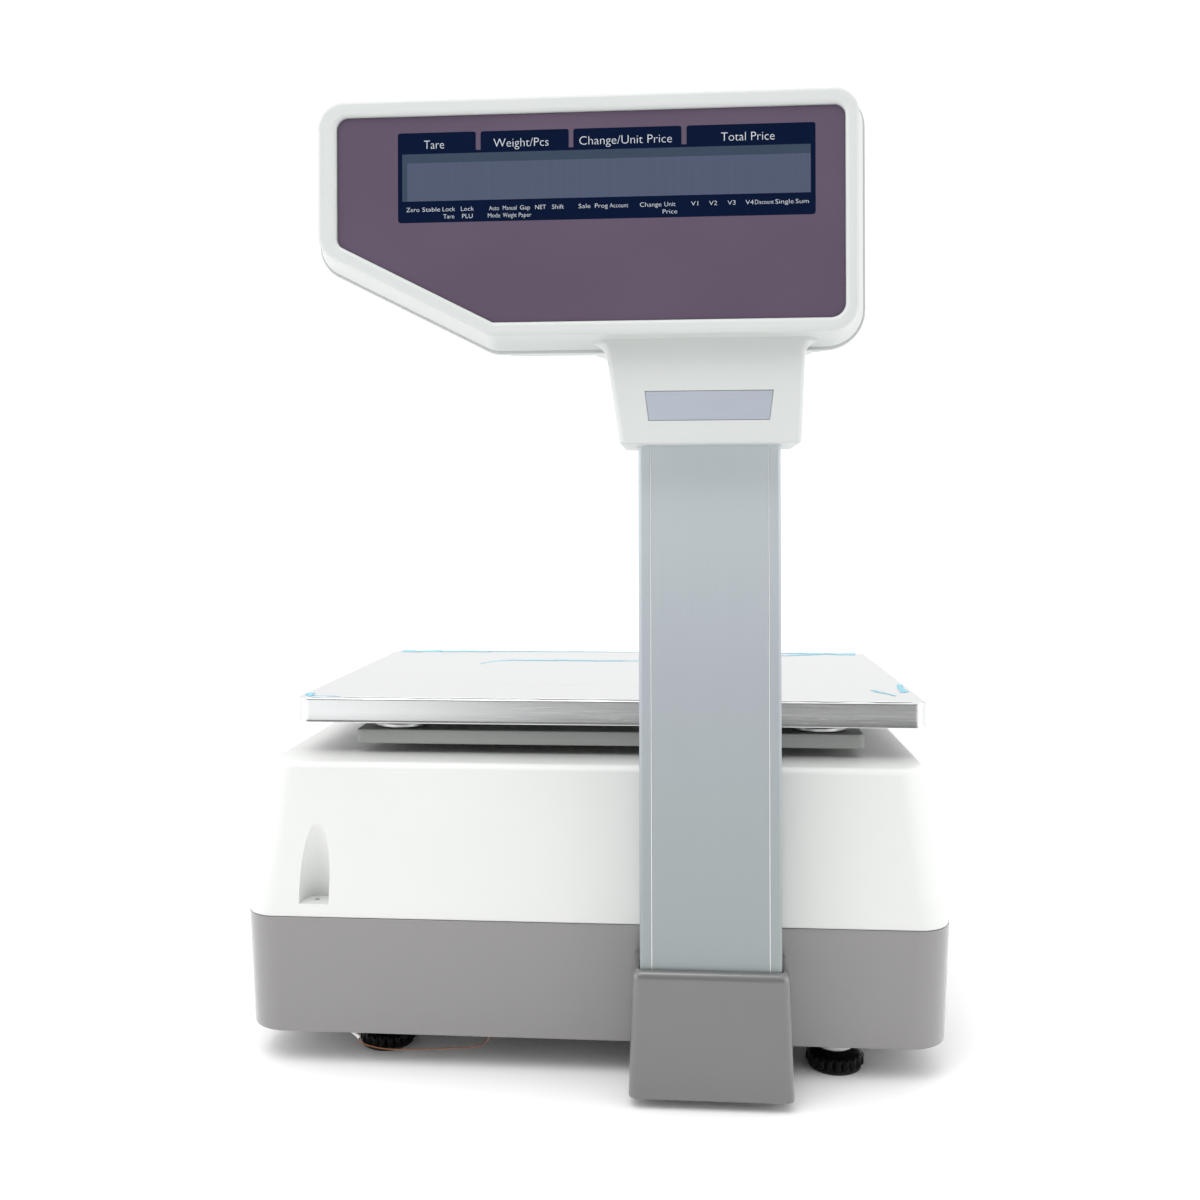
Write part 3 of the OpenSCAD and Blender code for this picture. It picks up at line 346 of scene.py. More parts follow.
def build_materials():
    m = MATERIALS
    m["white"] = plastic("housing_white_plastic", (0.69, 0.70, 0.684), rough=0.38, vary=0.012)
    # Painted shade: the head's white is the housing's white plastic made darker, for the head's face taking
    # less light.
    m["head_white_painted_shade"] = plastic("head_white_plastic_painted_shade", (0.565, 0.587, 0.575), rough=0.38, vary=0.012)
    m["base_grey"] = plastic("housing_grey_plastic", (0.197, 0.190, 0.190), rough=0.33, vary=0.02,
                             specular=0.6, gloss=1.0)
    # Painted shade: the boot's grey is the housing's grey plastic made darker, for the boot's face taking
    # less light.
    m["boot_grey"] = plastic("boot_grey_plastic_painted_shade", (0.122, 0.119, 0.120), rough=0.33, vary=0.02,
                             specular=0.6, gloss=1.0)
    m["black"] = plastic("black_plastic", (0.0018, 0.0022, 0.0026), rough=0.28, vary=0.1, specular=0.12)
    m["rubber"] = rubber("black_rubber", (0.012, 0.012, 0.013))
    m["column"] = anodised_column_painted_shade()
    m["stainless"] = brushed("brushed_stainless", (0.63, 0.635, 0.64), rough=0.24, along=(0.02, 1, 1),
                             lines=1800.0)
    m["tray"] = plastic("tray_grey_paint", (0.30, 0.31, 0.30), rough=0.5, grain=500.0, vary=0.03)
    m["steel"] = brushed("zinc_plated_steel", (0.55, 0.55, 0.56), rough=0.35, along=(1, 1, 1),
                         lines=300.0, vary=0.1)
    m["sheet"] = brushed("galvanised_sheet", (0.50, 0.51, 0.52), rough=0.42, along=(1, 1, 1),
                         lines=120.0, vary=0.12)
    m["cast"] = plastic("cast_aluminium", (0.42, 0.43, 0.44), rough=0.5, grain=420.0,
                        grain_depth=0.00008, vary=0.06)
    m["cell"] = brushed("machined_aluminium", (0.66, 0.67, 0.68), rough=0.3, along=(0.05, 1, 1))
    m["nylon"] = plastic("natural_nylon", (0.70, 0.70, 0.64), rough=0.45, vary=0.03)
    m["brass"] = brushed("turned_brass", (0.60, 0.42, 0.16), rough=0.3, along=(1, 1, 1), lines=600.0)
    m["motor"] = plastic("motor_black_paint", (0.03, 0.03, 0.033), rough=0.5, vary=0.1)
    m["head_alloy"] = plastic("dark_anodised", (0.06, 0.062, 0.07), rough=0.4, vary=0.08)
    m["lever"] = plastic("blue_lever_plastic", (0.03, 0.12, 0.38), rough=0.35, vary=0.05)
    m["hub"] = plastic("hub_grey_plastic", (0.22, 0.24, 0.27), rough=0.45, vary=0.04)
    m["rocker"] = plastic("red_rocker_plastic", (0.36, 0.02, 0.015), rough=0.28, vary=0.05)
    m["port"] = brushed("tin_plated_shell", (0.62, 0.62, 0.63), rough=0.3, along=(1, 1, 1), lines=500.0)
    m["board_green"] = board_material("board_green_mask", (0.012, 0.10, 0.045))
    m["board_tan"] = board_material("board_tan_laminate", (0.30, 0.19, 0.07))
    m["paper"] = paper_material()
    m["cable"] = plastic("cable_sheath", (0.02, 0.02, 0.022), rough=0.5, grain=500.0, vary=0.1)
    m["seal"] = plastic("seal_white_plastic", (0.75, 0.75, 0.72), rough=0.4, vary=0.03)
    m["plate"] = brushed("name_plate_aluminium", (0.53, 0.57, 0.65), rough=0.42, along=(0.03, 1, 1),
                         metallic=0.6, lines=900.0, vary=0.03)
    m["window"] = tinted_window()
    m["vial"] = clear_material("vial_green_fluid", (0.55, 0.85, 0.12), 0.55)
    m["navy"] = plastic("display_navy_print", (0.0022, 0.0066, 0.026), rough=0.22, grain=200.0,
                        grain_depth=0.000001, vary=0.08, specular=0.06)
    m["lcd"] = lcd_material()
    # Painted shade: the LCD's darker band along its top and left stands in for the shade the window's bezel
    # casts.
    m["lcd_painted_shade"] = plastic("lcd_painted_shade_band", (0.035, 0.052, 0.082), rough=0.14, grain=200.0,
                            grain_depth=0.000001, vary=0.05, specular=0.3)
    m["print"] = plastic("display_white_print", (0.52, 0.55, 0.60), rough=0.4, vary=0.02)
    m["ink"] = plastic("key_dark_print", (0.03, 0.04, 0.07), rough=0.4, vary=0.05)
    m["film"] = protective_film()
    m["keypad"] = plastic("keypad_film", (0.52, 0.60, 0.68), rough=0.34, grain=1500.0, vary=0.02)
    m["key_white"] = plastic("key_white_print", (0.80, 0.82, 0.82), rough=0.34, grain=1500.0, vary=0.02)
    m["key_blue"] = plastic("key_blue_print", (0.10, 0.22, 0.45), rough=0.34, grain=1500.0, vary=0.04)
    m["key_orange"] = plastic("key_orange_print", (0.75, 0.28, 0.06), rough=0.34, grain=1500.0, vary=0.04)
    m["groove"] = plastic("seam_shadow_grey", (0.40, 0.40, 0.39), rough=0.6, vary=0.03)
    # Painted highlight: a bright strip in each column groove stands in for the groove's lit wall.
    m["groove_painted_highlight"] = brushed("painted_highlight_groove_line", (0.86, 0.87, 0.87), rough=0.4, along=(1, 1, 0.02),
                               metallic=0.3, vary=0.02)
    m["bead"] = brushed("embossed_bead", (0.60, 0.61, 0.62), rough=0.2, along=(1, 1, 1), lines=600.0)
    m["clear_film"] = plastic("clear_film_edge", (0.90, 0.92, 0.93), rough=0.2, vary=0.02)
    m["copper"] = brushed("seal_wire_copper", (0.45, 0.20, 0.10), rough=0.35, along=(1, 1, 1))


def anodised_column_painted_shade():
    """Satin anodised extrusion: drawn lines along Z, and painted shade and highlight: darker towards the
    foot, lighter towards the head.
    """
    mat, nodes, links, bsdf = new_material("anodised_column_painted_shade")
    fine = noise(nodes, links, object_coords(nodes, links, (1, 1, 0.015)), 900.0, 3.0, 0.6)
    split = nodes.new("ShaderNodeSeparateXYZ")
    links.new(object_coords(nodes, links), split.inputs["Vector"])
    rise = nodes.new("ShaderNodeMapRange")
    rise.inputs["From Max"].default_value = COLUMN_HIGH.z * MM
    links.new(split.outputs["Z"], rise.inputs["Value"])
    # Painted shade and highlight: the colour runs from dark at the column's foot to light at its head,
    # standing in for how the light falls.
    tone = ramp(nodes, links, rise.outputs["Result"], [
        (0.15, (0.285, 0.32, 0.325)), (0.35, (0.315, 0.352, 0.36)), (0.55, (0.36, 0.39, 0.42)),
        (0.8, (0.455, 0.50, 0.525)), (1.0, (0.76, 0.82, 0.84))])
    grain = nodes.new("ShaderNodeMix")
    grain.data_type = "RGBA"
    grain.blend_type = "MULTIPLY"
    grain.inputs["Factor"].default_value = 1.0
    links.new(tone, grain.inputs["A"])
    links.new(ramp(nodes, links, fine, [(0.25, (0.975, 0.975, 0.975)), (0.75, (1, 1, 1))]), grain.inputs["B"])
    links.new(grain.outputs["Result"], bsdf.inputs["Base Color"])
    links.new(map_range(nodes, links, fine, 0.42, 0.52), bsdf.inputs["Roughness"])
    bsdf.inputs["Metallic"].default_value = 0.25
    bump(nodes, links, bsdf, fine, 0.2, 0.00001)
    return mat


def board_material(name, color):
    """Circuit board: a fine grid of lighter lines under the mask."""
    mat, nodes, links, bsdf = new_material(name)
    coords = object_coords(nodes, links)
    tex = nodes.new("ShaderNodeTexBrick")
    tex.inputs["Scale"].default_value = 220.0
    tex.inputs["Mortar Size"].default_value = 0.06
    tex.inputs["Color1"].default_value = (*shade(color, 0.9), 1)
    tex.inputs["Color2"].default_value = (*shade(color, 1.1), 1)
    tex.inputs["Mortar"].default_value = (*shade(color, 1.9), 1)
    links.new(coords, tex.inputs["Vector"])
    links.new(tex.outputs["Color"], bsdf.inputs["Base Color"])
    links.new(map_range(nodes, links, noise(nodes, links, coords, 90.0), 0.25, 0.4),
              bsdf.inputs["Roughness"])
    bump(nodes, links, bsdf, tex.outputs["Fac"], 0.3, 0.00003)
    return mat


def paper_material():
    """Label stock: faint fibre mottling and a fine tooth."""
    mat, nodes, links, bsdf = new_material("label_paper")
    coords = object_coords(nodes, links)
    fibre = noise(nodes, links, coords, 350.0, 5.0, 0.7)
    links.new(ramp(nodes, links, fibre, [(0.3, (0.80, 0.79, 0.75)), (0.7, (0.90, 0.89, 0.86))]),
              bsdf.inputs["Base Color"])
    bsdf.inputs["Roughness"].default_value = 0.7
    bump(nodes, links, bsdf, noise(nodes, links, coords, 2400.0, 2.0), 0.3, 0.00003)
    return mat


def tinted_window():
    """Smoky purple acrylic with faint drifts of tone and of roughness."""
    mat, nodes, links, bsdf = new_material("window_tinted_acrylic")
    coords = object_coords(nodes, links)
    drift = noise(nodes, links, coords, 9.0, 2.0)
    links.new(ramp(nodes, links, drift, [(0.3, (0.092, 0.068, 0.104)), (0.7, (0.108, 0.081, 0.120))]),
              bsdf.inputs["Base Color"])
    links.new(map_range(nodes, links, noise(nodes, links, coords, 45.0), 0.05, 0.09),
              bsdf.inputs["Roughness"])
    bsdf.inputs["Specular IOR Level"].default_value = 0.28
    return mat


def clear_material(name, color, alpha):
    mat, nodes, links, bsdf = new_material(name)
    coords = object_coords(nodes, links)
    links.new(ramp(nodes, links, noise(nodes, links, coords, 30.0), [(0.3, color), (0.7, shade(color, 1.1))]),
              bsdf.inputs["Base Color"])
    bsdf.inputs["Roughness"].default_value = 0.08
    bsdf.inputs["Alpha"].default_value = alpha
    return mat


def lcd_material():
    """Liquid crystal glass: grey-blue with a very fine segment grid."""
    mat, nodes, links, bsdf = new_material("lcd_glass")
    coords = object_coords(nodes, links)
    tex = nodes.new("ShaderNodeTexBrick")
    tex.offset = 0.0
    tex.inputs["Scale"].default_value = 320.0
    tex.inputs["Mortar Size"].default_value = 0.03
    tex.inputs["Color1"].default_value = (0.063, 0.077, 0.126, 1)
    tex.inputs["Color2"].default_value = (0.066, 0.080, 0.130, 1)
    tex.inputs["Mortar"].default_value = (0.060, 0.074, 0.121, 1)
    links.new(coords, tex.inputs["Vector"])
    links.new(tex.outputs["Color"], bsdf.inputs["Base Color"])
    links.new(map_range(nodes, links, noise(nodes, links, coords, 40.0), 0.16, 0.24),
              bsdf.inputs["Roughness"])
    bsdf.inputs["Specular IOR Level"].default_value = 0.35
    return mat


def protective_film():
    """Blue protective film, gathered and cloudy where it was left on the steel."""
    mat, nodes, links, bsdf = new_material("protective_blue_film")
    coords = object_coords(nodes, links)
    wrinkle = noise(nodes, links, coords, 130.0, 4.0, 0.65)
    links.new(ramp(nodes, links, wrinkle, [(0.3, (0.06, 0.42, 0.60)), (0.75, (0.20, 0.62, 0.76))]),
              bsdf.inputs["Base Color"])
    links.new(map_range(nodes, links, wrinkle, 0.15, 0.45), bsdf.inputs["Roughness"])
    bsdf.inputs["Alpha"].default_value = 0.9
    bump(nodes, links, bsdf, wrinkle, 0.6, 0.0003)
    return mat


def dress(obj, material, body=None, nodes=()):
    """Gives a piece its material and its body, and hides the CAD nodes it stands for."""
    weight = obj.modifiers.new("weighted_normals", "WEIGHTED_NORMAL")
    weight.keep_sharp = True
    if material:
        obj.data.materials.clear()
        obj.data.materials.append(MATERIALS[material])
    if body:
        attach(obj, body)
    if nodes:
        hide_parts(*nodes)
    return obj


# ---------- camera, light and floor ----------

def build_camera():
    """The photograph's viewpoint: low, turned a little to the left, level."""
    place = (0.05187, -0.7972, 0.300)
    turn = math.radians(4.42)
    roll = math.radians(-0.17)
    forward = Vector((-math.sin(turn), math.cos(turn), 0))
    level = Vector((math.cos(turn), math.sin(turn), 0))
    right = math.cos(roll) * level + math.sin(roll) * Vector((0, 0, 1))
    data = bpy.data.cameras.new("camera")
    data.sensor_width = 36.0
    data.lens = 35.87
    data.shift_x = 0.0057
    data.shift_y = -0.069
    camera = bpy.data.objects.new("camera", data)
    basis = Matrix((right, right.cross(forward), -forward)).transposed()
    camera.matrix_world = Matrix.Translation(place) @ basis.to_4x4()
    bpy.context.scene.collection.objects.link(camera)
    bpy.context.scene.camera = camera


def area_light(name, place, target, size, power):
    data = bpy.data.lights.new(name, "AREA")
    data.shape = "RECTANGLE"
    data.size, data.size_y = size
    data.energy = power
    light = bpy.data.objects.new(name, data)
    aim = Vector(target) - Vector(place)
    light.matrix_world = Matrix.Translation(place) @ aim.to_track_quat("-Z", "Y").to_matrix().to_4x4()
    bpy.context.scene.collection.objects.link(light)


# Brightness of the room by direction
FRONT_LEVEL, LEFT_LEVEL, SIDE_LEVEL, BACK_LEVEL, TOP_LEVEL = 0.24, 1.9, 2.35, 1.15, 1.43


def world_level(nodes, links):
    """The room's brightness: dark in front, white low on the left, at the sides, behind and above."""
    coords = nodes.new("ShaderNodeTexCoord")
    split = nodes.new("ShaderNodeSeparateXYZ")
    links.new(coords.outputs["Generated"], split.inputs["Vector"])
    width = nodes.new("ShaderNodeMath")
    width.operation = "ABSOLUTE"
    links.new(split.outputs["X"], width.inputs[0])

    def math_node(operation, first, second):
        node = nodes.new("ShaderNodeMath")
        node.operation = operation
        for socket, value in zip(node.inputs, (first, second)):
            if isinstance(value, float):
                socket.default_value = value
            else:
                links.new(value, socket)
        return node.outputs["Value"]

    def step(value, start, end):
        node = nodes.new("ShaderNodeMapRange")
        node.interpolation_type = "SMOOTHSTEP"
        node.inputs["From Min"].default_value = start
        node.inputs["From Max"].default_value = end
        links.new(value, node.inputs["Value"])
        return node.outputs["Result"]

    def blend(base, level, factor):
        mix = nodes.new("ShaderNodeMix")
        links.new(factor, mix.inputs["Factor"])
        if isinstance(base, float):
            mix.inputs["A"].default_value = base
        else:
            links.new(base, mix.inputs["A"])
        mix.inputs["B"].default_value = level
        return mix.outputs["Result"]

    left = math_node("MULTIPLY", split.outputs["X"], -1.0)
    low = math_node("MULTIPLY", split.outputs["Z"], -1.0)
    low_left = math_node("MULTIPLY", step(left, 0.11, 0.27), step(low, 0.0, 0.07))
    level = blend(FRONT_LEVEL, LEFT_LEVEL, low_left)
    level = blend(level, SIDE_LEVEL, step(width.outputs["Value"], 0.5, 0.85))
    level = blend(level, BACK_LEVEL, step(split.outputs["Y"], 0.05, 0.5))
    return blend(level, TOP_LEVEL, step(split.outputs["Z"], 0.35, 0.8))


def build_stage():
    """White floor that ends behind the camera, and soft studio light."""
    near, half = -950.0, 6000.0
    corners = [(-half, near, 0), (half, near, 0), (half, half, 0), (-half, half, 0)]
    floor = make_object("floor", corners, [(0, 1, 2, 3)])
    mat, nodes, links, bsdf = new_material("floor_white")
    coords = object_coords(nodes, links)
    links.new(ramp(nodes, links, noise(nodes, links, coords, 3.0),
                   [(0.3, (0.94, 0.94, 0.94)), (0.7, (0.96, 0.96, 0.96))]), bsdf.inputs["Base Color"])
    bsdf.inputs["Roughness"].default_value = 0.6
    bsdf.inputs["Specular IOR Level"].default_value = 0.2
    floor.data.materials.append(mat)
    world = bpy.data.worlds.new("studio")
    world.use_nodes = True
    background = world.node_tree.nodes["Background"]
    background.inputs["Color"].default_value = (1, 1, 1, 1)
    links = world.node_tree.links
    links.new(world_level(world.node_tree.nodes, links), background.inputs["Strength"])
    bpy.context.scene.world = world
    area_light("key_light", (-0.5, -1.15, 2.05), (0, 0, 0.2), (1.4, 1.0), 14.5)
    bpy.context.scene.view_settings.view_transform = "Standard"


# ---------- head ----------

COLUMN_LOW, COLUMN_HIGH = box_mm("column")
FACE_LOW, FACE_HIGH = box_mm("head_front_shell")
REAR_LOW, REAR_HIGH = box_mm("head_rear_shell")
FACE_Y = FACE_LOW.y
SEAM_Y = FACE_HIGH.y
REAR_SEAM_Y = REAR_LOW.y
BACK_Y = REAR_HIGH.y
FLARE = 4.5  # how far the sides spread from the face to the seam
HEAD_X0, HEAD_X1 = FACE_LOW.x + FLARE, FACE_HIGH.x - FLARE
HEAD_Z1 = FACE_HIGH.z - FLARE
HEAD_Z0 = box_mm("display_front")[0].z - 53.6
NECK_Z0 = FACE_LOW.z
NECK_FACE = -203.4
NECK_BACK = COLUMN_HIGH.y + (COLUMN_LOW.y - NECK_FACE)
DIAGONAL = 243.1  # direction square to the slanting lower edge, in degrees
# Corner arcs: centre X and Z, radius, first and last angle
HEAD_CORNERS = [
    (HEAD_X1 - 177.9, HEAD_Z0 + 10, 10, DIAGONAL, 270),
    (HEAD_X1 - 14, HEAD_Z0 + 14, 14, 270, 360),
    (HEAD_X1 - 12, HEAD_Z1 - 12, 12, 0, 90),
    (HEAD_X0 + 14, HEAD_Z1 - 14, 14, 90, 180),
    (HEAD_X0 + 12, HEAD_Z0 + 51.1, 12, 180, DIAGONAL),
]
# The opening's rim is wider at the top and on the left than elsewhere
OPEN_X0, OPEN_X1, OPEN_Z0, OPEN_Z1 = HEAD_X0 + 9.8, HEAD_X1 - 6.7, HEAD_Z0 + 6.7, HEAD_Z1 - 8.2


def diagonal_height(x, r, r_low):
    """Z of a corner centre at x, whose radius r touches the line that r_low touches at the low corner."""
    nx, nz = math.cos(math.radians(DIAGONAL)), math.sin(math.radians(DIAGONAL))
    low_x, low_z = HEAD_CORNERS[0][:2]
    return (nx * low_x + nz * low_z + r_low - r - nx * x) / nz


OPENING_CORNERS = [
    (HEAD_CORNERS[0][0], OPEN_Z0 + 3.3, 3.3, DIAGONAL, 270),
    (OPEN_X1 - 7.3, OPEN_Z0 + 7.3, 7.3, 270, 360),
    (OPEN_X1 - 5.3, OPEN_Z1 - 5.3, 5.3, 0, 90),
    (OPEN_X0 + 6, OPEN_Z1 - 6, 6, 90, 180),
    (OPEN_X0 + 5, diagonal_height(OPEN_X0 + 5, 5, 3.3), 5, 180, DIAGONAL),
]


def corner_ring(corners, d, y):
    ring = []
    for cx, cz, r, a0, a1 in corners:
        ring += [(x, y, z) for x, z in arc(cx, cz, r + d, a0, a1, 10)]
    return ring


def head_ring(d, y):
    """The head's outline grown by d, at y."""
    return corner_ring(HEAD_CORNERS, d, y)


def opening_ring(d, y):
    """The window opening grown by d, at y."""
    return corner_ring(OPENING_CORNERS, d, y)


def neck_ring(z, spread, y0, y1, front):
    """The neck's plan at z; spread is how far its flare to the head has widened it."""
    t = (z - NECK_Z0) / (379.0 - NECK_Z0)
    left = 19.2 + (13.0 - 19.2) * t - spread
    right = 109.1 + (110.9 - 109.1) * t + spread
    r = 3.0 + 0.8 * max(0.0, spread)
    radii = (r, 0.3) if front else (0.3, r)
    return side_ring(left, right, y0, y1, *radii, z, 8)


def neck_solid(name, y0, y1, front):
    """Neck between two Y values; its sides flare where they meet the head."""
    flare_r = 7.4
    lip = 1.2
    top_z = HEAD_Z0 - 2.6
    levels = [(NECK_Z0, -lip), (NECK_Z0 + lip * 0.4, -lip * 0.3), (NECK_Z0 + lip, 0.0),
              (top_z - flare_r, 0.0)]
    levels += [(top_z - flare_r + flare_r * rise, flare_r * run) for rise, run in quarter(8)]
    levels.append((top_z + 6.6, flare_r))
    rings = []
    for z, spread in levels:
        back = min(0.0, spread)
        rings.append(neck_ring(z, spread, y0 - back if front else y0, y1 if front else y1 + back, front))
    return loft(name, rings)


def shell_rings(face_y, seam_y, s):
    """Closed run of rings round one head shell, from its opening to its seam and back inside.
    s is the sign of the way from the face into the head."""
    lip_r = 2.2
    rings = [opening_ring(d, face_y + s * y) for d, y in
             ((-2.2, 4.2), (0.0, 4.2), (0.0, 1.5), (0.25, 0.85), (0.8, 0.35), (1.5, 0.08), (2.4, 0.0))]
    rings += [head_ring(lip_r * (out - 1), face_y + s * lip_r * back) for out, back in quarter(6, 0)]
    run = abs(seam_y - face_y) - lip_r - 0.5
    for i in range(1, 9):
        t = i / 8
        rings.append(head_ring(FLARE * t ** 2.2, face_y + s * (lip_r + run * t)))
    rings += [head_ring(FLARE - 0.4, seam_y), head_ring(FLARE - 2.5, seam_y), head_ring(0.5, seam_y - s * 3),
              head_ring(-2.6, face_y + s * 7.5), opening_ring(-2.2, face_y + s * 7.0)]
    return rings


def neck_half(name, y0, y1, front):
    """Half of the neck, with the hollow that takes the column's end."""
    gap = 0.5
    hollow = rounded_rect(COLUMN_LOW.x - gap, COLUMN_HIGH.x + gap, COLUMN_LOW.y - gap, COLUMN_HIGH.y + gap,
                          4.0, 6)
    return cut(neck_solid(name, y0, y1, front), prism("slot", hollow, NECK_Z0 - 5, HEAD_Z0 + 30))


def build_front_shell():
    neck = neck_half("neck_front", NECK_FACE, SEAM_Y, True)
    low, high = box_mm("name_plate")
    gap, lean = 0.3, 1.6
    pocket = [(low.x - gap, high.z + gap), (high.x + gap, high.z + gap),
              (high.x - lean, low.z - gap), (low.x + lean, low.z - gap)]
    cut(neck, upright_prism("plate_pocket", pocket, NECK_FACE - 3, high.y))
    front = join(loft("head_front_shell_visual", shell_rings(FACE_Y, SEAM_Y, 1), closed=True), neck)
    bevel(front, 0.35, 2, 50)
    dress(front, "head_white_painted_shade", "root", ["head_front_shell"])


def build_rear_shell():
    """Operator-side shell, whose rim covers the seam; behind it a grey ring of painted shadow fills the
    seam's gap.
    """
    rear = loft("head_rear_shell_visual", shell_rings(BACK_Y, REAR_SEAM_Y + 3.5, -1), closed=True)
    rim = loft("rear_rim", [head_ring(FLARE + d, REAR_SEAM_Y + y) for d, y in
                            ((-3, 0), (1.1, 0), (1.5, 0.5), (1.5, 2.8), (0.9, 3.6), (-0.3, 4.4), (-3, 4.4))],
               closed=True)
    join(rear, rim, neck_half("neck_rear", REAR_SEAM_Y, NECK_BACK, False))
    for x, z in ((-125.8, 480), (132.4, 480), (132.4, 410), (-30, 393.5)):
        cut(rear, plug(3.2, 30, (x, BACK_Y - 25, z), "Y", 24))
    bevel(rear, 0.35, 2, 50)
    dress(rear, "head_white_painted_shade", "root", ["head_rear_shell"])

    # Painted shadow: a grey ring behind the seam shows in its gap where only shade would be.
    seam_painted_shadow = loft("head_seam_painted_shadow", [head_ring(FLARE - d, y) for d, y in
                                       ((2.2, SEAM_Y - 0.5), (0.9, SEAM_Y - 0.5), (0.9, REAR_SEAM_Y + 0.5),
                                        (2.2, REAR_SEAM_Y + 0.5))], closed=True)
    dress(seam_painted_shadow, "groove", "root", ())


# ---------- display ----------

PANEL_X0, PANEL_X1, PANEL_Z0, PANEL_Z1 = -90.0, 115.0, 446.2, 490.7
PANEL_MID = (PANEL_X0 + PANEL_X1) / 2
TABS = [(PANEL_X0, -50.9), (-48.5, -4.8), (-2.5, 50.4), (52.9, PANEL_X1)]
TAB_Z = 481.6
LCD = (-87.8, 112.7, 456.8, 480.2)
# Words on the display: middle X and width
CAPTIONS = [("Tare", -71.8, 10.0), ("Weight/Pcs", -28.4, 27.3), ("Change/Unit Price", 23.1, 45.3),
            ("Total Price", 82.5, 25.8)]
# Indicator columns: middle X, upper word and its width, lower word and its width
INDICATORS = [
    (-82.5, "Zero", 6.5, "", 0), (-73.3, "Stable", 8.9, "", 0), (-64.5, "Lock", 6.2, "Tare", 5.5),
    (-55.2, "Lock", 6.4, "PLU", 5.2), (-41.9, "Auto", 4.9, "Mode", 6.1),
    (-34.1, "Manual", 6.8, "Weight", 6.8),
    (-26.5, "Gap", 4.9, "Paper", 6.2), (-18.8, "NET", 5.3, "", 0), (-10.2, "Shift", 5.8, "", 0),
    (2.9, "Sale", 5.8, "", 0), (11.2, "Prog", 6.3, "", 0), (19.8, "Account", 9.0, "", 0),
    (35.3, "Change", 10.4, "", 0), (44.7, "Unit", 5.3, "Price", 7.0), (56.7, "V1", 3.4, "", 0),
    (65.7, "V2", 3.8, "", 0), (74.6, "V3", 3.8, "", 0), (83.3, "V4", 3.8, "", 0),
    (90.4, "Discount", 9.0, "", 0), (100.1, "Single", 8.8, "", 0), (108.6, "Sum", 6.3, "", 0)
]
WINDOW_Y = FACE_Y + 2.0


def text_mesh(name, words, cap, x, z, y, depth=0.06, width=None, thin=0.0):
    """Raised lettering that faces -Y, centred on x with its baseline at z; width stretches it."""
    data = bpy.data.curves.new(name, "FONT")
    data.body = words
    data.align_x = "CENTER"
    data.size = cap * MM / 0.69
    data.extrude = depth * MM / 2
    data.offset = thin * data.size
    data.resolution_u = 3
    letters = bpy.data.objects.new(name, data)
    bpy.context.scene.collection.objects.link(letters)
    bpy.context.view_layer.update()
    graph = bpy.context.evaluated_depsgraph_get()
    mesh = bpy.data.meshes.new_from_object(letters.evaluated_get(graph))
    bpy.data.objects.remove(letters)
    left, right = min(v.co.x for v in mesh.vertices), max(v.co.x for v in mesh.vertices)
    stretch = width * MM / (right - left) if width else 1.0
    mesh.transform(Matrix.Translation((-(left + right) / 2, 0, 0)))
    mesh.transform(Matrix.Diagonal((stretch, 1, 1, 1)))
    mesh.transform(Matrix.Rotation(math.radians(90), 4, "X"))
    mesh.transform(Matrix.Translation((x * MM, (y - depth / 2) * MM, z * MM)))
    obj = bpy.data.objects.new(name, mesh)
    bpy.context.scene.collection.objects.link(obj)
    return obj


def panel_outline():
    """Navy print: four tabs with round upper corners over one field."""
    outline = arc(PANEL_X0 + 1.5, PANEL_Z0 + 1.5, 1.5, 180, 270, 4)
    outline += arc(PANEL_X1 - 1.5, PANEL_Z0 + 1.5, 1.5, 270, 360, 4)
    for x0, x1 in reversed(TABS):
        if x1 < PANEL_X1:
            outline.append((x1, TAB_Z))
        outline += arc(x1 - 1.2, PANEL_Z1 - 1.2, 1.2, 0, 90, 4)
        outline += arc(x0 + 1.2, PANEL_Z1 - 1.2, 1.2, 90, 180, 4)
        if x0 > PANEL_X0:
            outline.append((x0, TAB_Z))
    return outline


def display_words():
    """Printed captions above the LCD and the indicator words below it."""
    print_y, print_depth = WINDOW_Y + 0.19, 0.08
    words = [text_mesh("caption", text, 4.2, x, 482.7, print_y, print_depth, width, -0.014)
             for text, x, width in CAPTIONS]
    for x, upper, upper_width, lower, lower_width in INDICATORS:
        for text, width, z in ((upper, upper_width, 451.6), (lower, lower_width, 448.0)):
            if text:
                words.append(text_mesh("indicator", text, 2.15, x, z, print_y, print_depth, width, -0.013))
    return merge("display_captions_front", words)


def window_pane(name, face_y, s):
    """Pane that fills the opening of the shell at face_y; s points from that face into the head."""
    rings = [opening_ring(d, face_y + s * y) for d, y in ((-0.35, 2.25), (-0.15, 2.5), (-0.15, 4.0))]
    return loft(name, rings)


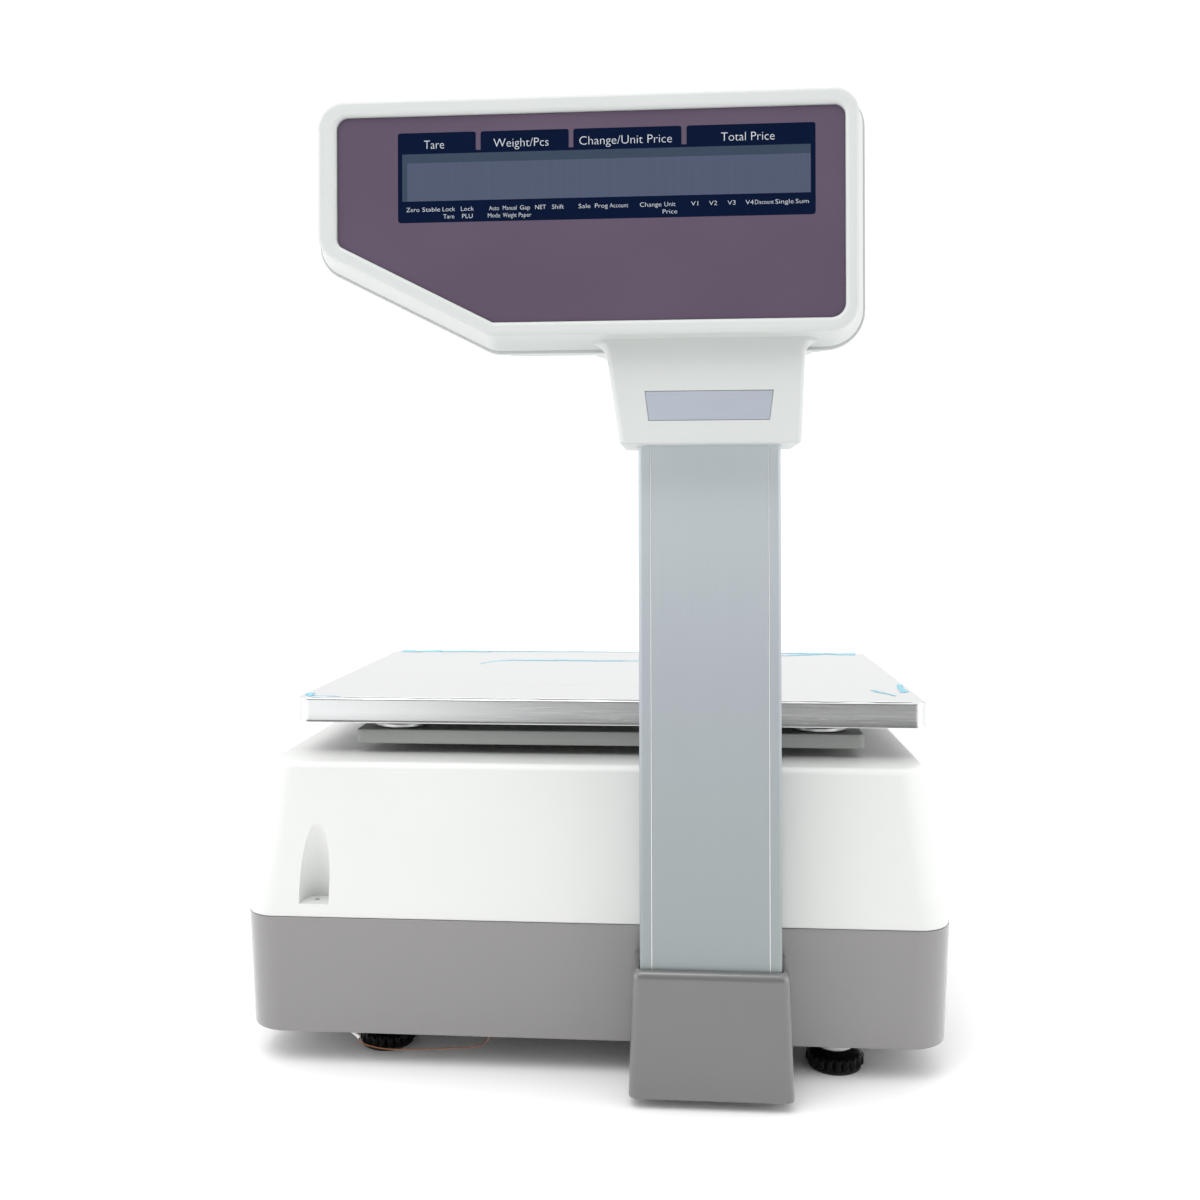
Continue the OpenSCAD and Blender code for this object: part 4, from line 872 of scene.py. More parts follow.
def build_display():
    """Window with its printed field, the LCD and captions, on both faces of the head."""
    x0, x1, z0, z1 = LCD
    side, top = x0 + 2.5, z1 - 4.5
    navy = upright_prism("display_field_front", panel_outline(), WINDOW_Y + 0.19, WINDOW_Y + 0.5)
    glass = upright_prism("display_lcd_front", [(side, z0), (x1, z0), (x1, top), (side, top)],
                          WINDOW_Y + 0.12, WINDOW_Y + 0.4)
    # Painted shade: a dark band along the LCD's left and top edges, where the bezel's shade falls.
    edge = upright_prism("display_lcd_edge_front",
                         [(x0, z0), (side, z0), (side, top), (x1, top), (x1, z1), (x0, z1)],
                         WINDOW_Y + 0.14, WINDOW_Y + 0.4)
    centre = Matrix.Translation((PANEL_MID, (FACE_Y + BACK_Y) / 2, 0))
    turn = centre @ Matrix.Rotation(math.pi, 4, "Z") @ centre.inverted()
    for obj, look in ((navy, "navy"), (glass, "lcd"), (edge, "lcd_painted_shade"), (display_words(), "print")):
        rear = transform(copy_of(obj, obj.name.replace("front", "rear")), turn)
        dress(rear, look, "root", ())
        dress(obj, look, "root", ())
    for face, y, s in (("front", FACE_Y, 1), ("rear", BACK_Y, -1)):
        pane = window_pane("head_window_%s_visual" % face, y, s)
        dress(pane, "window", "root", ["head_window_%s" % face])


def build_name_plate():
    """Blank plate, narrower at its foot."""
    low, high = box_mm("name_plate")
    lean = 1.7

    def ring(d, y):
        return [(low.x + d, y, high.z - d), (low.x + lean + d, y, low.z + d),
                (high.x - lean - d, y, low.z + d), (high.x - d, y, high.z - d)]

    plate = loft("name_plate_visual", [ring(0, high.y), ring(0, low.y + 0.25), ring(0.25, low.y)])
    dress(plate, "plate", "root", ["name_plate"])


# ---------- column and boot ----------

def build_column():
    """Extrusion with two grooves in each broad face, and a bright strip at the bottom of each: a painted
    highlight for the lit groove wall.
    """
    x0, x1, y0, y1 = COLUMN_LOW.x, COLUMN_HIGH.x, COLUMN_LOW.y, COLUMN_HIGH.y
    mid, spread, r = (x0 + x1) / 2, 30, 2.0

    def groove(x, y, s):
        half, depth = 0.42, 0.45
        return [(x - s * half, y), (x - s * half * 0.7, y + s * depth), (x + s * half * 0.7, y + s * depth),
                (x + s * half, y)]

    outline = arc(x0 + r, y0 + r, r, 180, 270, 5)
    outline += groove(mid - spread, y0, 1) + groove(mid + spread, y0, 1)
    outline += arc(x1 - r, y0 + r, r, 270, 360, 5) + arc(x1 - r, y1 - r, r, 0, 90, 5)
    outline += groove(mid + spread, y1, -1) + groove(mid - spread, y1, -1)
    outline += arc(x0 + r, y1 - r, r, 90, 180, 5)
    column = prism("column_visual", outline, COLUMN_LOW.z, COLUMN_HIGH.z, 20)
    dress(column, "column", "root", ["column"])
    # Painted highlight: a bright strip at the bottom of each groove, for the groove's lit wall.
    lines = []
    for x in (mid - spread, mid + spread):
        for y, s in ((y0, 1), (y1, -1)):
            a, b = sorted((y + s * 0.28, y + s * 0.5))
            lines.append(block("line", (x - 0.24, a, COLUMN_LOW.z + 1), (x + 0.24, b, COLUMN_HIGH.z - 1)))
    dress(merge("column_groove_painted_highlights", lines), "groove_painted_highlight", "root", ())


def build_boot():
    """Boot that leans in as it rises, with a rolled top edge; it is open towards the housing."""
    low, high = box_mm("column_boot")
    back = box_mm("base_housing")[0].y
    # Height, inset and corner radius
    rows = [(low.z, 0.9, 3.4), (low.z + 0.3, 0.35, 4.0), (low.z + 0.9, 0.05, 4.4), (low.z + 1.6, 0.0, 4.5)]
    lean = 1.75
    top = high.z
    roll = 4.6
    for z in (12, 20, 40, top - roll):
        rows.append((z, lean * (z - low.z) / (top - roll - low.z), 4.5))
    rows += [(top - roll + roll * rise, lean + 2.75 * run, 4.5) for rise, run in quarter(8)]
    rings = []
    for z, inset, r in rows:
        rear = back + 0.2 + 2.0 * max(0.0, (top - roll - z)) / (top - roll - low.z)
        rings.append(side_ring(low.x + inset, high.x - inset, low.y + inset, rear, r, 0.4, z))
    boot = loft("column_boot_visual", rings, sharp=50)
    cavity = prism("cavity", rounded_rect(low.x + 3, high.x - 3, low.y + 2.8, back + 4, 2, 4),
                   low.z + 2.8, top - 3.0)
    slot = prism("slot", rounded_rect(COLUMN_LOW.x - 0.6, COLUMN_HIGH.x + 0.6, COLUMN_LOW.y - 0.6,
                                      COLUMN_HIGH.y + 12, 1.5, 4), low.z + 2.0, top + 5)
    cut(boot, cavity, slot, sharp=50)
    dress(boot, "boot_grey", "root", ["column_boot"])


# ---------- housings ----------

BASE_Z0 = 19.2
PART_Z = 82.3
BASE_Y0, BASE_Y1 = -160.0, 215.0
HALF_W = 193.0
DECK_Z, SHOULDER_Z = 165.5, 161.5
SLOPE_Y, KNEE_Y, KNEE_Z = 110.0, 209.0, 96.0
SLOPE_A = math.atan((DECK_Z - KNEE_Z) / (KNEE_Y - SLOPE_Y))
WALL = 2.8
DOOR_X, DOOR_Y = -80.0, 112.0
HINGE_X, HINGE_Z = -189.0, 88.7
HINGE_KNUCKLES = (118, 151, 184)
DOOR_KNUCKLES = (126.4, 159.4)
SCREW_BOSSES = [(-168, -128), (168, -128), (168, 190), (-70, 197)]
# Openings in the +X side for the inlet, the switch and the sockets: middle Y and Z, width, height
SIDE_OPENINGS = [(-102, 48, 28, 21), (-68, 48, 14, 20), (-14, 46, 16.8, 13.8), (12, 46, 14.8, 13.8),
                 (44, 46, 31.8, 12.8)]
FEET = [tuple(sum(box_mm("foot_sole_%d" % i), Vector()).xy / 2) for i in range(1, 5)]


def base_ring(z, inset):
    """Outline of the lower housing at height z; it widens a little as it rises."""
    t = (z - BASE_Z0) / (PART_Z - BASE_Z0)
    d = 2.4 * (1 - t) + inset
    return inset_ring(-HALF_W, HALF_W, BASE_Y0, BASE_Y1, d, 22 - inset, z)


def build_base():
    edge_r = 0.7
    rows = [(BASE_Z0 + edge_r * run, edge_r * (1 - rise)) for rise, run in quarter(4, 0)]
    rows += [(40, 0), (60, 0), (PART_Z - 1.0, 0), (PART_Z - 0.35, 0.15), (PART_Z, 0.6)]
    base = loft("base_housing_visual", [base_ring(z, d) for z, d in rows])
    cut(base, loft("inside", [base_ring(z, WALL) for z in (BASE_Z0 + WALL, 50, PART_Z + 1)]))
    pads = [block("pad", (34, BASE_Y0 - 1.2, 24), (94, BASE_Y0 + 6, 81))]
    for x, y in SCREW_BOSSES:
        pads.append(turned("boss", [(4.4, 1), (6, 1), (6, 48), (4.4, 48)], (x, y, 21), "Z", 32))
    join(base, *pads)
    tools = [plug(4.3, 20, (x, y, BASE_Z0 - 5)) for x, y in SCREW_BOSSES]
    tools += [plug(9.9, 30, (x, y, 10), "Z", 40) for x, y in FEET]
    for y, z, w, h in SIDE_OPENINGS:
        tools.append(block("opening", (186, y - w / 2, z - h / 2), (195, y + w / 2, z + h / 2)))
    for first_x, y0, y1, count in ((105, -125, -75, 6), (-60, 60, 110, 5)):
        for i in range(count):
            x = first_x + i * 8
            tools.append(prism("vent", rounded_rect(x, x + 3, y0, y1, 1.45, 4),
                               BASE_Z0 - 1, BASE_Z0 + WALL + 1))
    cut(base, *tools)
    dress(base, "base_grey", "root", ["base_housing"])
    profile = [(4.0, 0.4), (4.4, 0), (9.6, 0), (10.2, 0.6), (10.2, 20.4), (4.0, 20.4)]
    bosses = [turned("boss", profile, (x, y, 11.3), "Z", 48) for x, y in FEET]
    dress(merge("foot_bosses", bosses), "white", "root", ())


def top_ring(z, inset, t=0.0):
    """Outline of the upper housing at height z: inset for round edges, t for the wall."""
    # Height, half width and front Y
    table = [(PART_Z, 191.75, -159.5), (96, 190, -158.7), (117, 186.5, -156.8), (SHOULDER_Z, 182, -152.4),
             (170, 181.4, -151.6)]
    z_in = max(PART_Z, z)
    for (z0, w0, y0), (z1, w1, y1) in zip(table, table[1:]):
        if z_in <= z1:
            break
    k = (z_in - z0) / (z1 - z0)
    half = w0 + (w1 - w0) * k - inset - t
    front = y0 + (y1 - y0) * k + inset + t
    wall_line = 214 - 0.292 * (z - PART_Z) - t
    slope_line = 113 + (SHOULDER_Z - z) * 97 / 65.5 - t / math.sin(SLOPE_A)
    # The nearer of the two lines, with their knee rounded off
    mid, softness = 150, 1.2
    reach = sum(math.exp((mid - line) / softness) for line in (wall_line, slope_line))
    back = mid - softness * math.log(reach)
    return [(x, y, z) for x, y in rounded_rect(-half, half, front, back - inset, 18 - t)]


def top_shell(name):
    """The whole upper housing as a shell with no openings."""
    rows = [(PART_Z, 0.9), (PART_Z + 0.4, 0.25), (PART_Z + 1.1, 0.0)]
    rows += [(z, 0.0) for z in (88, 92, 94, 95, 96, 97, 98, 100, 104, 117, 140, SHOULDER_Z)]
    rows += [(SHOULDER_Z + (DECK_Z - SHOULDER_Z) * rise, 3.5 * run) for rise, run in quarter(6)]
    shell = loft(name, [top_ring(z, d) for z, d in rows])
    inner = [(z, 0.0) for z in (PART_Z - 1, 92, 94, 96, 98, 104, 117, 140, 159.5)] + [(162.7, 3.2)]
    return cut(shell, loft("inside", [top_ring(z, d, WALL) for z, d in inner]))


def slope_matrix():
    """Place of the keypad slope's upper edge, with +Z square to the slope."""
    return Matrix.Translation((0, SLOPE_Y, DECK_Z)) @ Matrix.Rotation(-SLOPE_A, 4, "X")


def scoop_shape(grow):
    """Slot with a flat ledge and a round back that leans forward until it meets the wall."""
    ledge_z, top_z, steps = 89.5, 140, 12
    rings = []
    for i in range(steps + 1):
        z = ledge_z - grow + (top_z - ledge_z + grow) * i / steps
        half = 8.3 + grow - 3.6 * max(0.0, (z - 100) / 40) ** 1.5
        mid = -151.0 + (z - ledge_z) * 0.03
        back = -144.2 - 0.249 * (z - ledge_z) + grow
        rings.append(side_ring(mid - half, mid + half, -178, back, 1.0, half - 0.05, z, 10))
    return loft("scoop", rings)


def knuckle(y, length, bore):
    """Hinge knuckle that starts at y, with its edges broken."""
    profile = [(bore, 0.2), (bore + 0.2, 0), (2.4, 0), (2.7, 0.3), (2.7, length - 0.3), (2.4, length),
               (bore + 0.2, length), (bore, length - 0.2)]
    return turned("knuckle", profile, (HINGE_X, y, HINGE_Z), "Y", 24)


def build_top():
    """Upper housing: the scoop has a wall of its own, and the door's corner is left out."""
    top = top_shell("top_housing_visual")
    liner = scoop_shape(WALL - 0.6)
    boolean(liner, loft("limit", [top_ring(z, 0.3) for z in (83, 100, 120, 150)]), "INTERSECT")
    join(top, liner)
    pocket = prism("keypad_pocket", rounded_rect(-74, 180, 7, 114, 3, 6), -1.1, 6)
    cut(top, block("corner", (-200, DOOR_Y, 85.7), (DOOR_X, 230, 200)), scoop_shape(0),
        prism("post_hole", rounded_rect(33, 81, -35.4, 12.6, 6, 6), 150, 180),
        plug(11, 20, (166, 62, 153), "Z", 40), plug(1.6, 20, (-151.5, -150.5, 80), "Z", 20),
        transform(pocket, slope_matrix()),
        transform(block("tail_slot", (30, 30, -10), (60, 50, 5)), slope_matrix()))
    parts = [top]
    for y in HINGE_KNUCKLES:
        parts.append(knuckle(y, 8, 1.55))
        parts.append(block("knuckle_foot", (HINGE_X - 1.8, y + 0.1, PART_Z + 1.5),
                           (HINGE_X + 2.2, y + 7.9, HINGE_Z - 1.8)))
    dress(merge("top_housing_visual", parts), "white", "root", ["top_housing"])


def build_door():
    """Printer door: the housing's corner cut free, with a flange, a finger dimple and a label slot."""
    door = top_shell("printer_door_visual")
    boolean(door, block("keep", (-200, DOOR_Y + 0.6, 86.7), (DOOR_X - 0.6, 230, 200)), "INTERSECT")
    flange = block("flange", (-176, DOOR_Y + 0.7, 118), (DOOR_X - 1, DOOR_Y + 2.9, 161))
    lip = block("lip", (DOOR_X - 2.8, DOOR_Y + 0.7, 118), (DOOR_X - 0.65, 185, 128))
    boolean(lip, loft("roof", [top_ring(z, 0.4) for z in (83, 96, 98, 117, 161)]), "INTERSECT")
    join(door, flange, lip)
    dimple_r = 12
    dimple = turned("dimple", [(0.001, -dimple_r)] + arc(0, 0, dimple_r, -85, 85, 17) + [(0.001, dimple_r)],
                    (0, 0, 0), "Z", 48)
    transform(dimple, slope_matrix() @ Matrix.Translation((DOOR_X, 60, 9.8)))
    cut(door, dimple, block("hinge_gap", (-200, DOOR_Y - 1, 80), (-186, 230, HINGE_Z + 0.5)),
        prism("outlet", rounded_rect(-170, -102, 200, 230, 1.5, 4), 80, 91.5))
    for y in HINGE_KNUCKLES:
        cut(door, plug(3.1, 8.8, (HINGE_X, y - 0.4, HINGE_Z), "Y", 24))
    door = merge("printer_door_visual", [door] + [knuckle(y, 24.2, 1.6) for y in DOOR_KNUCKLES])
    dress(door, "white", "printer_door", ["printer_door"])


# ---------- platter, tray and pads ----------

PLATTER_LOW, PLATTER_HIGH = box_mm("platter")
FILM_T = 0.12  # room between the steel and the top of the CAD platter for the film


def platter_ring(inset, z):
    return inset_ring(PLATTER_LOW.x, PLATTER_HIGH.x, PLATTER_LOW.y, PLATTER_HIGH.y, inset,
                      max(0.5, 8.5 - inset), z, 14)


def build_platter():
    """Pan with a folded rim, and the raised bead of its embossed panel."""
    z0, z1 = PLATTER_LOW.z, PLATTER_HIGH.z - FILM_T
    side, edge_r = 0.35, 1.6
    rows = [(12, z1 - 1.0), (4, z1 - 1.0), (2.2, z1 - 1.15), (1.35, z1 - 2.0), (1.25, z0 + 1.2),
            (0.9, z0 + 0.15), (0.5, z0), (0.1, z0 + 0.12), (0.0, z0 + 0.5), (0.12, z0 + 1.1),
            (side, z0 + 1.7), (side, z1 - 8), (side, z1 - edge_r)]
    rows += [(side + edge_r * run, z1 - edge_r + edge_r * rise) for rise, run in quarter(6)]
    rows += [(3.0, z1), (12, z1)]
    platter = loft("platter_visual", [platter_ring(d, z) for d, z in rows])
    dress(platter, "stainless", "platter", ["platter"])

    cx, cy = (PLATTER_LOW.x + PLATTER_HIGH.x) / 2, (PLATTER_LOW.y + PLATTER_HIGH.y) / 2
    profile = [(0, z1 - 0.6), (0, z1), (0.5, z1 + 0.05), (0.9, z1 + 0.08), (1.4, z1 + 0.05), (1.9, z1),
               (1.9, z1 - 0.6)]
    bead = loft("platter_bead", [inset_ring(cx - 97, cx + 97, cy - 61, cy + 61, d, 26 - d, z)
                                 for d, z in profile], closed=True)
    dress(bead, "bead", "platter", ())


def ribbon(name, path, widths, z, thick, seed):
    """Thin strip with a ragged edge along a path in XY; seed shifts the raggedness."""
    verts, faces = [], []
    n = len(path)
    for i, ((x, y), w) in enumerate(zip(path, widths)):
        a, b = path[max(i - 1, 0)], path[min(i + 1, n - 1)]
        dx, dy = b[0] - a[0], b[1] - a[1]
        length = math.hypot(dx, dy) or 1.0
        nx, ny = -dy / length, dx / length
        wobble = w * (0.2 * math.sin(0.5 * i + seed) + 0.12 * math.sin(1.27 * i + 2 * seed))
        for side in (-0.5, 0.5):
            ex = side * w + (wobble if side > 0 else 0.4 * wobble)
            verts.append((x + nx * ex, y + ny * ex, z - thick))
            verts.append((x + nx * ex, y + ny * ex, z))
    for i in range(n - 1):
        a, b = 4 * i, 4 * i + 4
        faces += [(a + 1, a + 3, b + 3, b + 1), (a, b, b + 2, a + 2), (a, a + 1, b + 1, b),
                  (a + 2, b + 2, b + 3, a + 3)]
    faces += [(0, 2, 3, 1), (4 * n - 4, 4 * n - 3, 4 * n - 1, 4 * n - 2)]
    return make_object(name, verts, faces)


def build_film():
    """Remnants of blue protective film along the platter's edges and the embossed bead."""
    x0, x1, y0, y1 = PLATTER_LOW.x, PLATTER_HIGH.x, PLATTER_LOW.y, PLATTER_HIGH.y
    z = PLATTER_HIGH.z
    cx, cy = (x0 + x1) / 2, (y0 + y1) / 2
    pieces = []
    # Each strip: its points, and its width at the start and at the end
    strips = [
        ([(x0 + 6, y1 - 6.5), (x0 + 40, y1 - 5.5), (x0 + 75, y1 - 5)], 12.0, 8.0),
        ([(x0 + 75, y1 - 4), (x0 + 120, y1 - 3.4), (cx + 10, y1 - 2.6)], 5.0, 2.0),
        ([(x1 - 70, y1 - 4.5), (x1 - 34, y1 - 8), (x1 - 8, y1 - 11)], 5.0, 12.0),
        ([(x1 - 112, y1 - 22), (x1 - 70, y1 - 25), (x1 - 46, y1 - 17), (x1 - 34, y1 - 12)], 2.0, 6.0),
        ([(cx + 52, y1 - 6), (cx + 80, y1 - 10), (cx + 108, y1 - 7)], 3.5, 10.0),
        ([(x0 + 3.5, y0 + 16), (x0 + 8, y0 + 5.2), (x0 + 26, y0 + 3.4)], 5.0, 2.4),
        ([(x1 - 4.5, y0 + 70), (x1 - 7, y0 + 38)], 3.0, 4.5),
        ([(x1 - 14, y0 + 24), (x1 - 24, y0 + 46)], 1.6, 3.6),
    ]
    steps = 18
    for seed, (points, w0, w1) in enumerate(strips, 1):
        path = []
        for (ax, ay), (bx, by) in zip(points, points[1:]):
            path += [(ax + (bx - ax) * i / steps, ay + (by - ay) * i / steps) for i in range(steps)]
        path.append(points[-1])
        widths = [w0 + (w1 - w0) * i / (len(path) - 1) for i in range(len(path))]
        pieces.append(ribbon("film", path, widths, z, 0.04, seed))
    # Two more follow the bead's far edge, from its corners to its middle
    far, left, r = cy + 61.5, cx - 97.5, 26
    corner = arc(left + r, far - r, r, 176, 90, 14)
    path = corner + [(left + r + (cx - left - r) * i / 20, far) for i in range(1, 21)]
    pieces.append(ribbon("film", path, [1.2 + 4.6 * min(1, i / 16) for i in range(len(path))], z, 0.04, 9))
    path = [(2 * cx - px, py) for px, py in path]
    pieces.append(ribbon("film", path, [0.6 + 2.4 * min(1, i / 24) for i in range(len(path))], z, 0.04, 10))
    film = merge("protective_film_remnants", pieces)
    dress(film, "film", "platter", ())

    # Clear film edge left standing along the near rim
    path = [(x0 + 9 + (x1 - x0 - 18) * i / 90, y0 + 1.9 + 0.5 * math.sin(i * 0.63)) for i in range(91)]
    widths = [1.5 + 0.55 * math.sin(i * 0.9) + 0.3 * math.sin(i * 2.3) for i in range(91)]
    edge = ribbon("film_edge_near", path, widths, z, 0.05, 11)
    dress(edge, "clear_film", "platter", ())


def build_tray():
    """Tray with a turned-down edge, its post's seat and ribs, and the pads with their collars."""
    low, high = box_mm("platter_support")
    # Inset and height
    rows = [(60, low.z + 6), (8, low.z + 6), (6, low.z + 5.4), (3.2, low.z + 0.3), (2.6, low.z), (0.6, low.z),
            (0.1, low.z + 0.4), (0, low.z + 0.9), (0, high.z - 1.2), (0.3, high.z - 0.4), (1.2, high.z),
            (4, high.z), (60, high.z)]
    tray = loft("platter_support_visual", [
        inset_ring(low.x, high.x, low.y, high.y, d, max(0.6, 3.5 - d), z, 8) for d, z in rows])
    post_low, post_high = box_mm("tray_post")
    seat = prism("seat", rounded_rect(post_low.x - 6, post_high.x + 6, post_low.y - 6, post_high.y + 6, 5, 6),
                 low.z, low.z + 6.5)
    ribs = [block("rib", (low.x + 10, -12.9, low.z + 1.5), (high.x - 10, -9.9, low.z + 6.5)),
            block("rib", (-41.5, low.y + 10, low.z + 1.5), (-38.5, high.y - 10, low.z + 6.5))]
    tray = merge("platter_support_visual", [tray, seat] + ribs)
    dress(tray, "tray", "weigh_frame", ["platter_support"])
    pads, collars = [], []
    cx, cy = (low.x + high.x) / 2, (low.y + high.y) / 2
    h = box_mm("platter_pads")[1].z - high.z
    for sx in (-1, 1):
        for sy in (-1, 1):
            place = (cx + sx * 120, cy + sy * 97, high.z)
            pads.append(turned("pad", [(0.001, 0), (13, 0), (13, h - 9), (15.2, h - 8), (15.9, h - 7),
                                       (15.9, h - 1), (15.3, h), (0.001, h)], place, "Z", 56))
            collars.append(turned("collar", [(13.02, 0.5), (15.4, 0.5), (15.9, 1.0), (15.9, 2.4), (15.5, 2.9),
                                             (13.02, 2.9)], place, "Z", 56))
    dress(merge("platter_pads_visual", pads), "rubber", "weigh_frame", ["platter_pads"])
    dress(merge("platter_pad_collars", collars), "steel", "weigh_frame", ())


# ---------- feet ----------

def knob_ring(centre, r, z, depth):
    """Round outline with twenty shallow valleys."""
    cx, cy = centre
    ring = []
    for i in range(200):
        a = 2 * math.pi * i / 200
        valley = 1 - abs(math.cos(10 * a)) ** 0.8
        rr = r - depth * valley
        ring.append((cx + rr * math.cos(a), cy + rr * math.sin(a), z))
    return ring


def build_feet():
    """Scalloped knob with its threaded stud, and a rubber sole, at each corner."""
    z0 = 2.0
    # Knob: radius, height and depth of the valleys
    knob_rows = [(11, z0, 0.2), (14.0, z0, 0.6), (15.0, z0 + 0.35, 1.1), (15.7, z0 + 1.3, 1.6),
                 (15.75, z0 + 2.2, 1.6), (15.75, 6.0, 1.6), (15.5, 6.9, 1.3), (15.0, 7.6, 0.6),
                 (14.3, 8.2, 0.1), (13.2, 8.9, 0), (12.0, 9.6, 0), (10.9, 10.2, 0), (10.2, 10.45, 0),
                 (9.6, 10.5, 0), (4.4, 10.5, 0)]
    thread = [(3.9 if k % 2 else 3.3, 0.4 + 0.625 * k) for k in range(1, 22)]
    stud_profile = [(0.001, 0)] + thread + [(3.2, 15.2), (0.001, 15.4)]
    sole_profile = [(0.001, 0), (11.0, 0), (13.6, 0), (14.15, 0.4), (14.15, 1.2), (13.7, 1.7), (3.0, 1.7),
                    (3.0, 6.0), (0.001, 6.0)]
    for i, (x, y) in enumerate(FEET, 1):
        knob_node, sole_node = "foot_knob_%d" % i, "foot_sole_%d" % i
        knob = loft(knob_node + "_visual", [knob_ring((x, y), r, z, d) for r, z, d in knob_rows])
        dress(knob, "black", knob_node, [knob_node])
        stud = turned("foot_stud_%d" % i, stud_profile, (x, y, 10.4), "Z", 28)
        dress(stud, "steel", knob_node, ())
        sole = turned(sole_node + "_visual", sole_profile, (x, y, 0), "Z", 56)
        dress(sole, "rubber", sole_node, [sole_node])


# ---------- keypad ----------

KEY_COLUMNS, KEY_ROWS = 12, 6
ITEM_COLUMNS = 8
DIGITS = {(8, 1): "7", (9, 1): "8", (10, 1): "9", (8, 2): "4", (9, 2): "5", (10, 2): "6",
          (8, 3): "1", (9, 3): "2", (10, 3): "3", (8, 4): "0", (9, 4): "00", (10, 4): "C"}
ORANGE_KEYS = ((11, 5), (11, 4), (10, 5))


def key_look(i, j):
    """A key's legend and material: numbered item keys, the digit block and plain function keys."""
    if i < ITEM_COLUMNS:
        return str(i + 1 + ITEM_COLUMNS * j), "key_white"
    if (i, j) in DIGITS:
        return DIGITS[i, j], "key_white"
    return None, "key_orange" if (i, j) in ORANGE_KEYS else "key_blue"


def build_keypad():
    """Embossed film on the slope, with raised key pads and their printed numbers."""
    place = slope_matrix()
    film = loft("keypad_film", [inset_ring(-73.5, 179.5, 7.5, 113.5, d, 2.6 - d, z, 6)
                                for d, z in ((0, -1.1), (0, -0.35), (0.12, -0.2), (0.4, -0.1))])
    transform(film, place)
    dress(film, "keypad", "root", ["keypad_panel"])
    groups = {"key_white": [], "key_blue": [], "key_orange": []}
    legends = []
    facing = Matrix.Rotation(math.pi, 4, "Z") @ Matrix.Rotation(math.radians(-90), 4, "X")
    for i in range(KEY_COLUMNS):
        for j in range(KEY_ROWS):
            x0, y0 = -65 + i * 19.6, 14 + j * 16
            legend, look = key_look(i, j)
            groups[look].append(loft("key", [
                inset_ring(x0, x0 + 16, y0, y0 + 12, d, max(0.4, 2 - d), z, 5)
                for d, z in ((0, -0.15), (0, 0.05), (0.15, 0.2), (0.6, 0.3), (1.6, 0.3))]))
            if legend:
                # Item numbers are small and in the key's corner, digits large and in its middle
                cap, dx, dy = (2.6, 12.6, 9) if i < ITEM_COLUMNS else (4.6, 8, 4)
                letters = text_mesh("legend", legend, cap, 0, 0, 0, 0.06)
                spot = Matrix.Translation((x0 + dx, y0 + dy, 0.33))
                legends.append(transform(letters, place @ spot @ facing))
    for look, keys in groups.items():
        pad = merge(look.replace("key", "keys"), keys)
        transform(pad, place)
        dress(pad, look, "root", ())
    dress(merge("key_legends", legends), "ink", "root", ())


# ---------- seal ----------

def tube(name, points, r, sides=8):
    """Round wire along points."""
    rings = []
    for i, p in enumerate(points):
        t = (points[min(i + 1, len(points) - 1)] - points[max(i - 1, 0)]).normalized()
        u = t.cross(Vector((0, 0, 1)))
        u = u.normalized() if u.length > 1e-4 else Vector((1, 0, 0))
        w = t.cross(u)
        rings.append([tuple(p + r * (math.cos(a) * u + math.sin(a) * w))
                      for a in [2 * math.pi * k / sides for k in range(sides)]])
    return loft(name, rings)


def smooth_path(keys, steps):
    """Catmull-Rom curve through the key points."""
    points = []
    for i in range(len(keys) - 1):
        a, b, c, d = [Vector(keys[min(max(k, 0), len(keys) - 1)]) for k in range(i - 1, i + 3)]
        for k in range(steps):
            t = k / steps
            points.append(0.5 * (2 * b + (c - a) * t + (2 * a - 5 * b + 4 * c - d) * t ** 2
                                 + (3 * b - a - 3 * c + d) * t ** 3))
    return points + [Vector(keys[-1])]


def tilted_bar(name, half_x, half_z, y0, y1, place, degrees):
    """Flat bar across Y, turned about Y."""
    bar = block(name, (-half_x, y0, -half_z), (half_x, y1, half_z))
    return transform(bar, Matrix.Translation(place) @ Matrix.Rotation(math.radians(degrees), 4, "Y"))


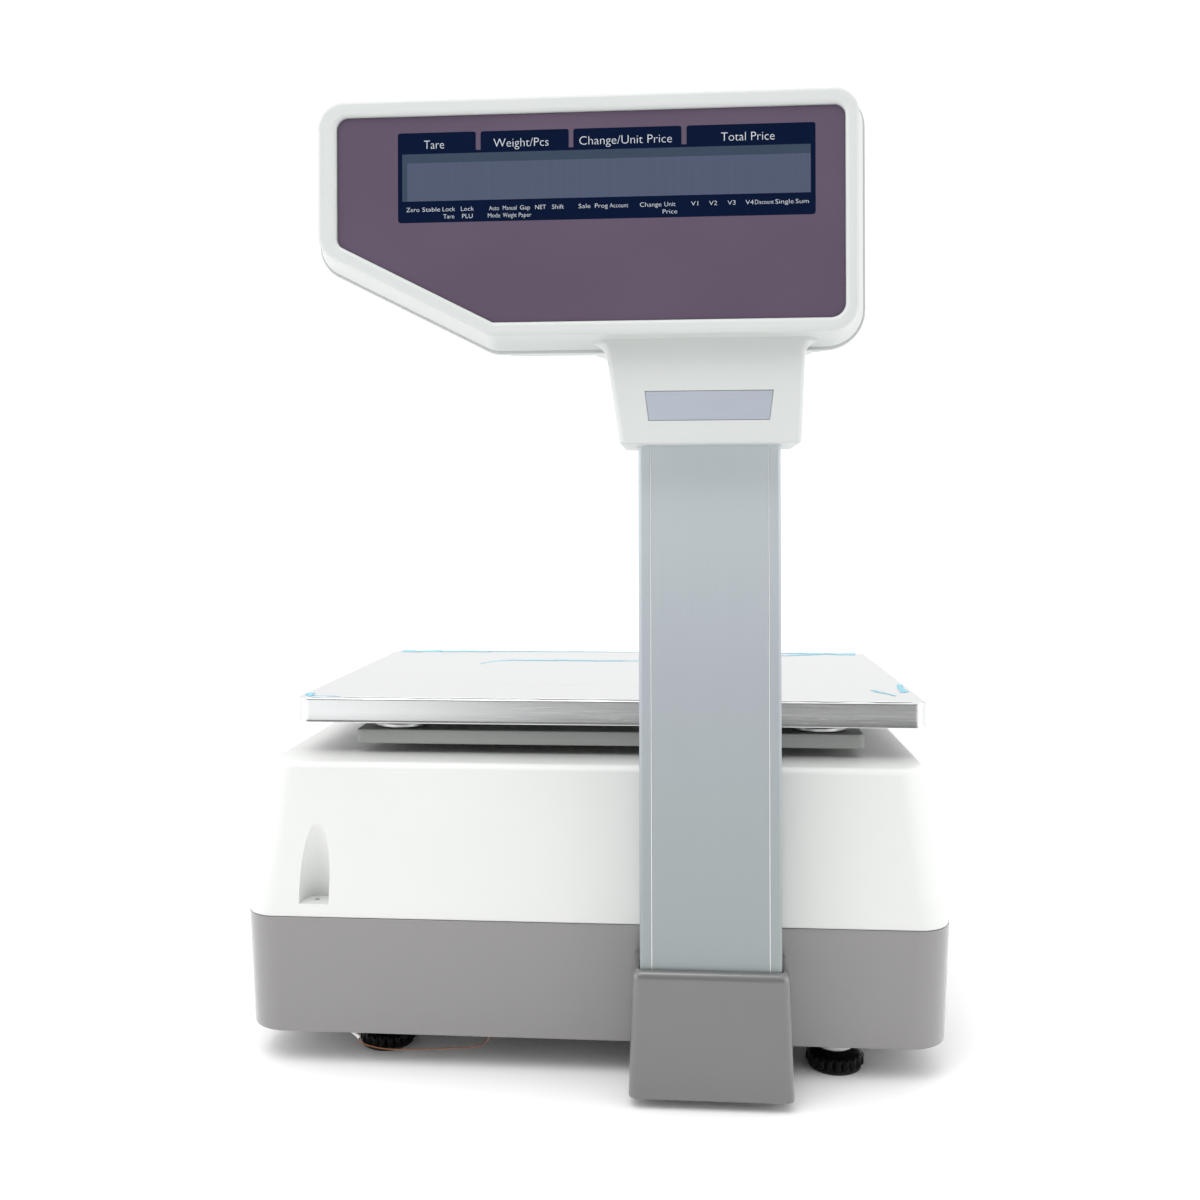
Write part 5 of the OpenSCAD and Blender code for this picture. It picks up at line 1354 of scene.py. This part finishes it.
def build_seal():
    """Plastic tag that hangs under the housing's edge on a copper wire, which runs back below it."""
    low, high = box_mm("seal_tag")
    mid_y = (low.y + high.y) / 2
    strip = tilted_bar("strip", 2.9, 0.8, low.y + 0.7, high.y - 0.7,
                       (low.x + 1.9, 0, (low.z + high.z) / 2 + 1.2), 39)
    ear = tilted_bar("ear", 1.3, 0.5, low.y + 0.9, high.y - 0.9, (low.x + 4.1, 0, high.z + 0.9), -42)
    dress(merge("seal_tag_visual", [strip, ear]), "seal", "root", ["seal_tag"])
    hook_x = low.x + 3.2
    keys = [(hook_x - 0.4, mid_y, BASE_Z0 - 0.3), (hook_x + 0.2, mid_y, 14.6),
            (hook_x + 3.4, mid_y + 0.3, 11.6), (-118.5, -152, 9.4), (-112, -151, 8.2),
            (-102, -149.5, 7.7), (-90, -148.5, 7.7), (-78, -147.5, 8.2), (-66, -147, 8.9),
            (-58, -146, 12.0), (-55, -145, BASE_Z0 + 0.5)]
    dress(tube("seal_wire", smooth_path(keys, 5), 0.3), "copper", "root", ())


# ---------- run ----------

build_camera()
build_stage()
build_materials()
build_front_shell()
build_rear_shell()
build_display()
build_name_plate()
build_column()
build_boot()
build_base()
build_top()
build_door()
build_platter()
build_film()
build_tray()
build_feet()
build_keypad()
build_seal()

CAD_LOOKS = {
    "housing_screws": "steel", "chassis_plate": "sheet", "load_cell_pedestal": "cast", "load_cell": "cell",
    "load_cell_bolts": "steel", "overload_stop": "steel", "tray_post": "cast", "main_board": "board_green",
    "power_board": "board_tan", "power_inlet": "black", "power_switch_body": "black",
    "power_rocker": "rocker", "data_ports": "port", "keypad_board": "board_green", "door_pin": "steel",
    "printer_frame": "sheet", "platen_roller": "rubber", "platen_gear": "nylon", "idler_gear": "nylon",
    "motor_pinion": "brass", "feed_motor": "motor", "print_head": "head_alloy", "head_lever": "lever",
    "roll_spindle": "hub", "label_roll": "paper", "roll_guide": "hub", "liner_spool": "black",
    "column_insert": "cast", "column_bolts": "steel", "display_front": "board_green",
    "display_rear": "board_green", "head_bracket": "sheet", "head_screws": "steel",
    "display_cable": "cable", "load_cell_cable": "cable", "level_cup": "black", "level_vial": "vial",
}
for node, look in CAD_LOOKS.items():
    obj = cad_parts[node]
    obj.data.materials.clear()
    obj.data.materials.append(MATERIALS[look])
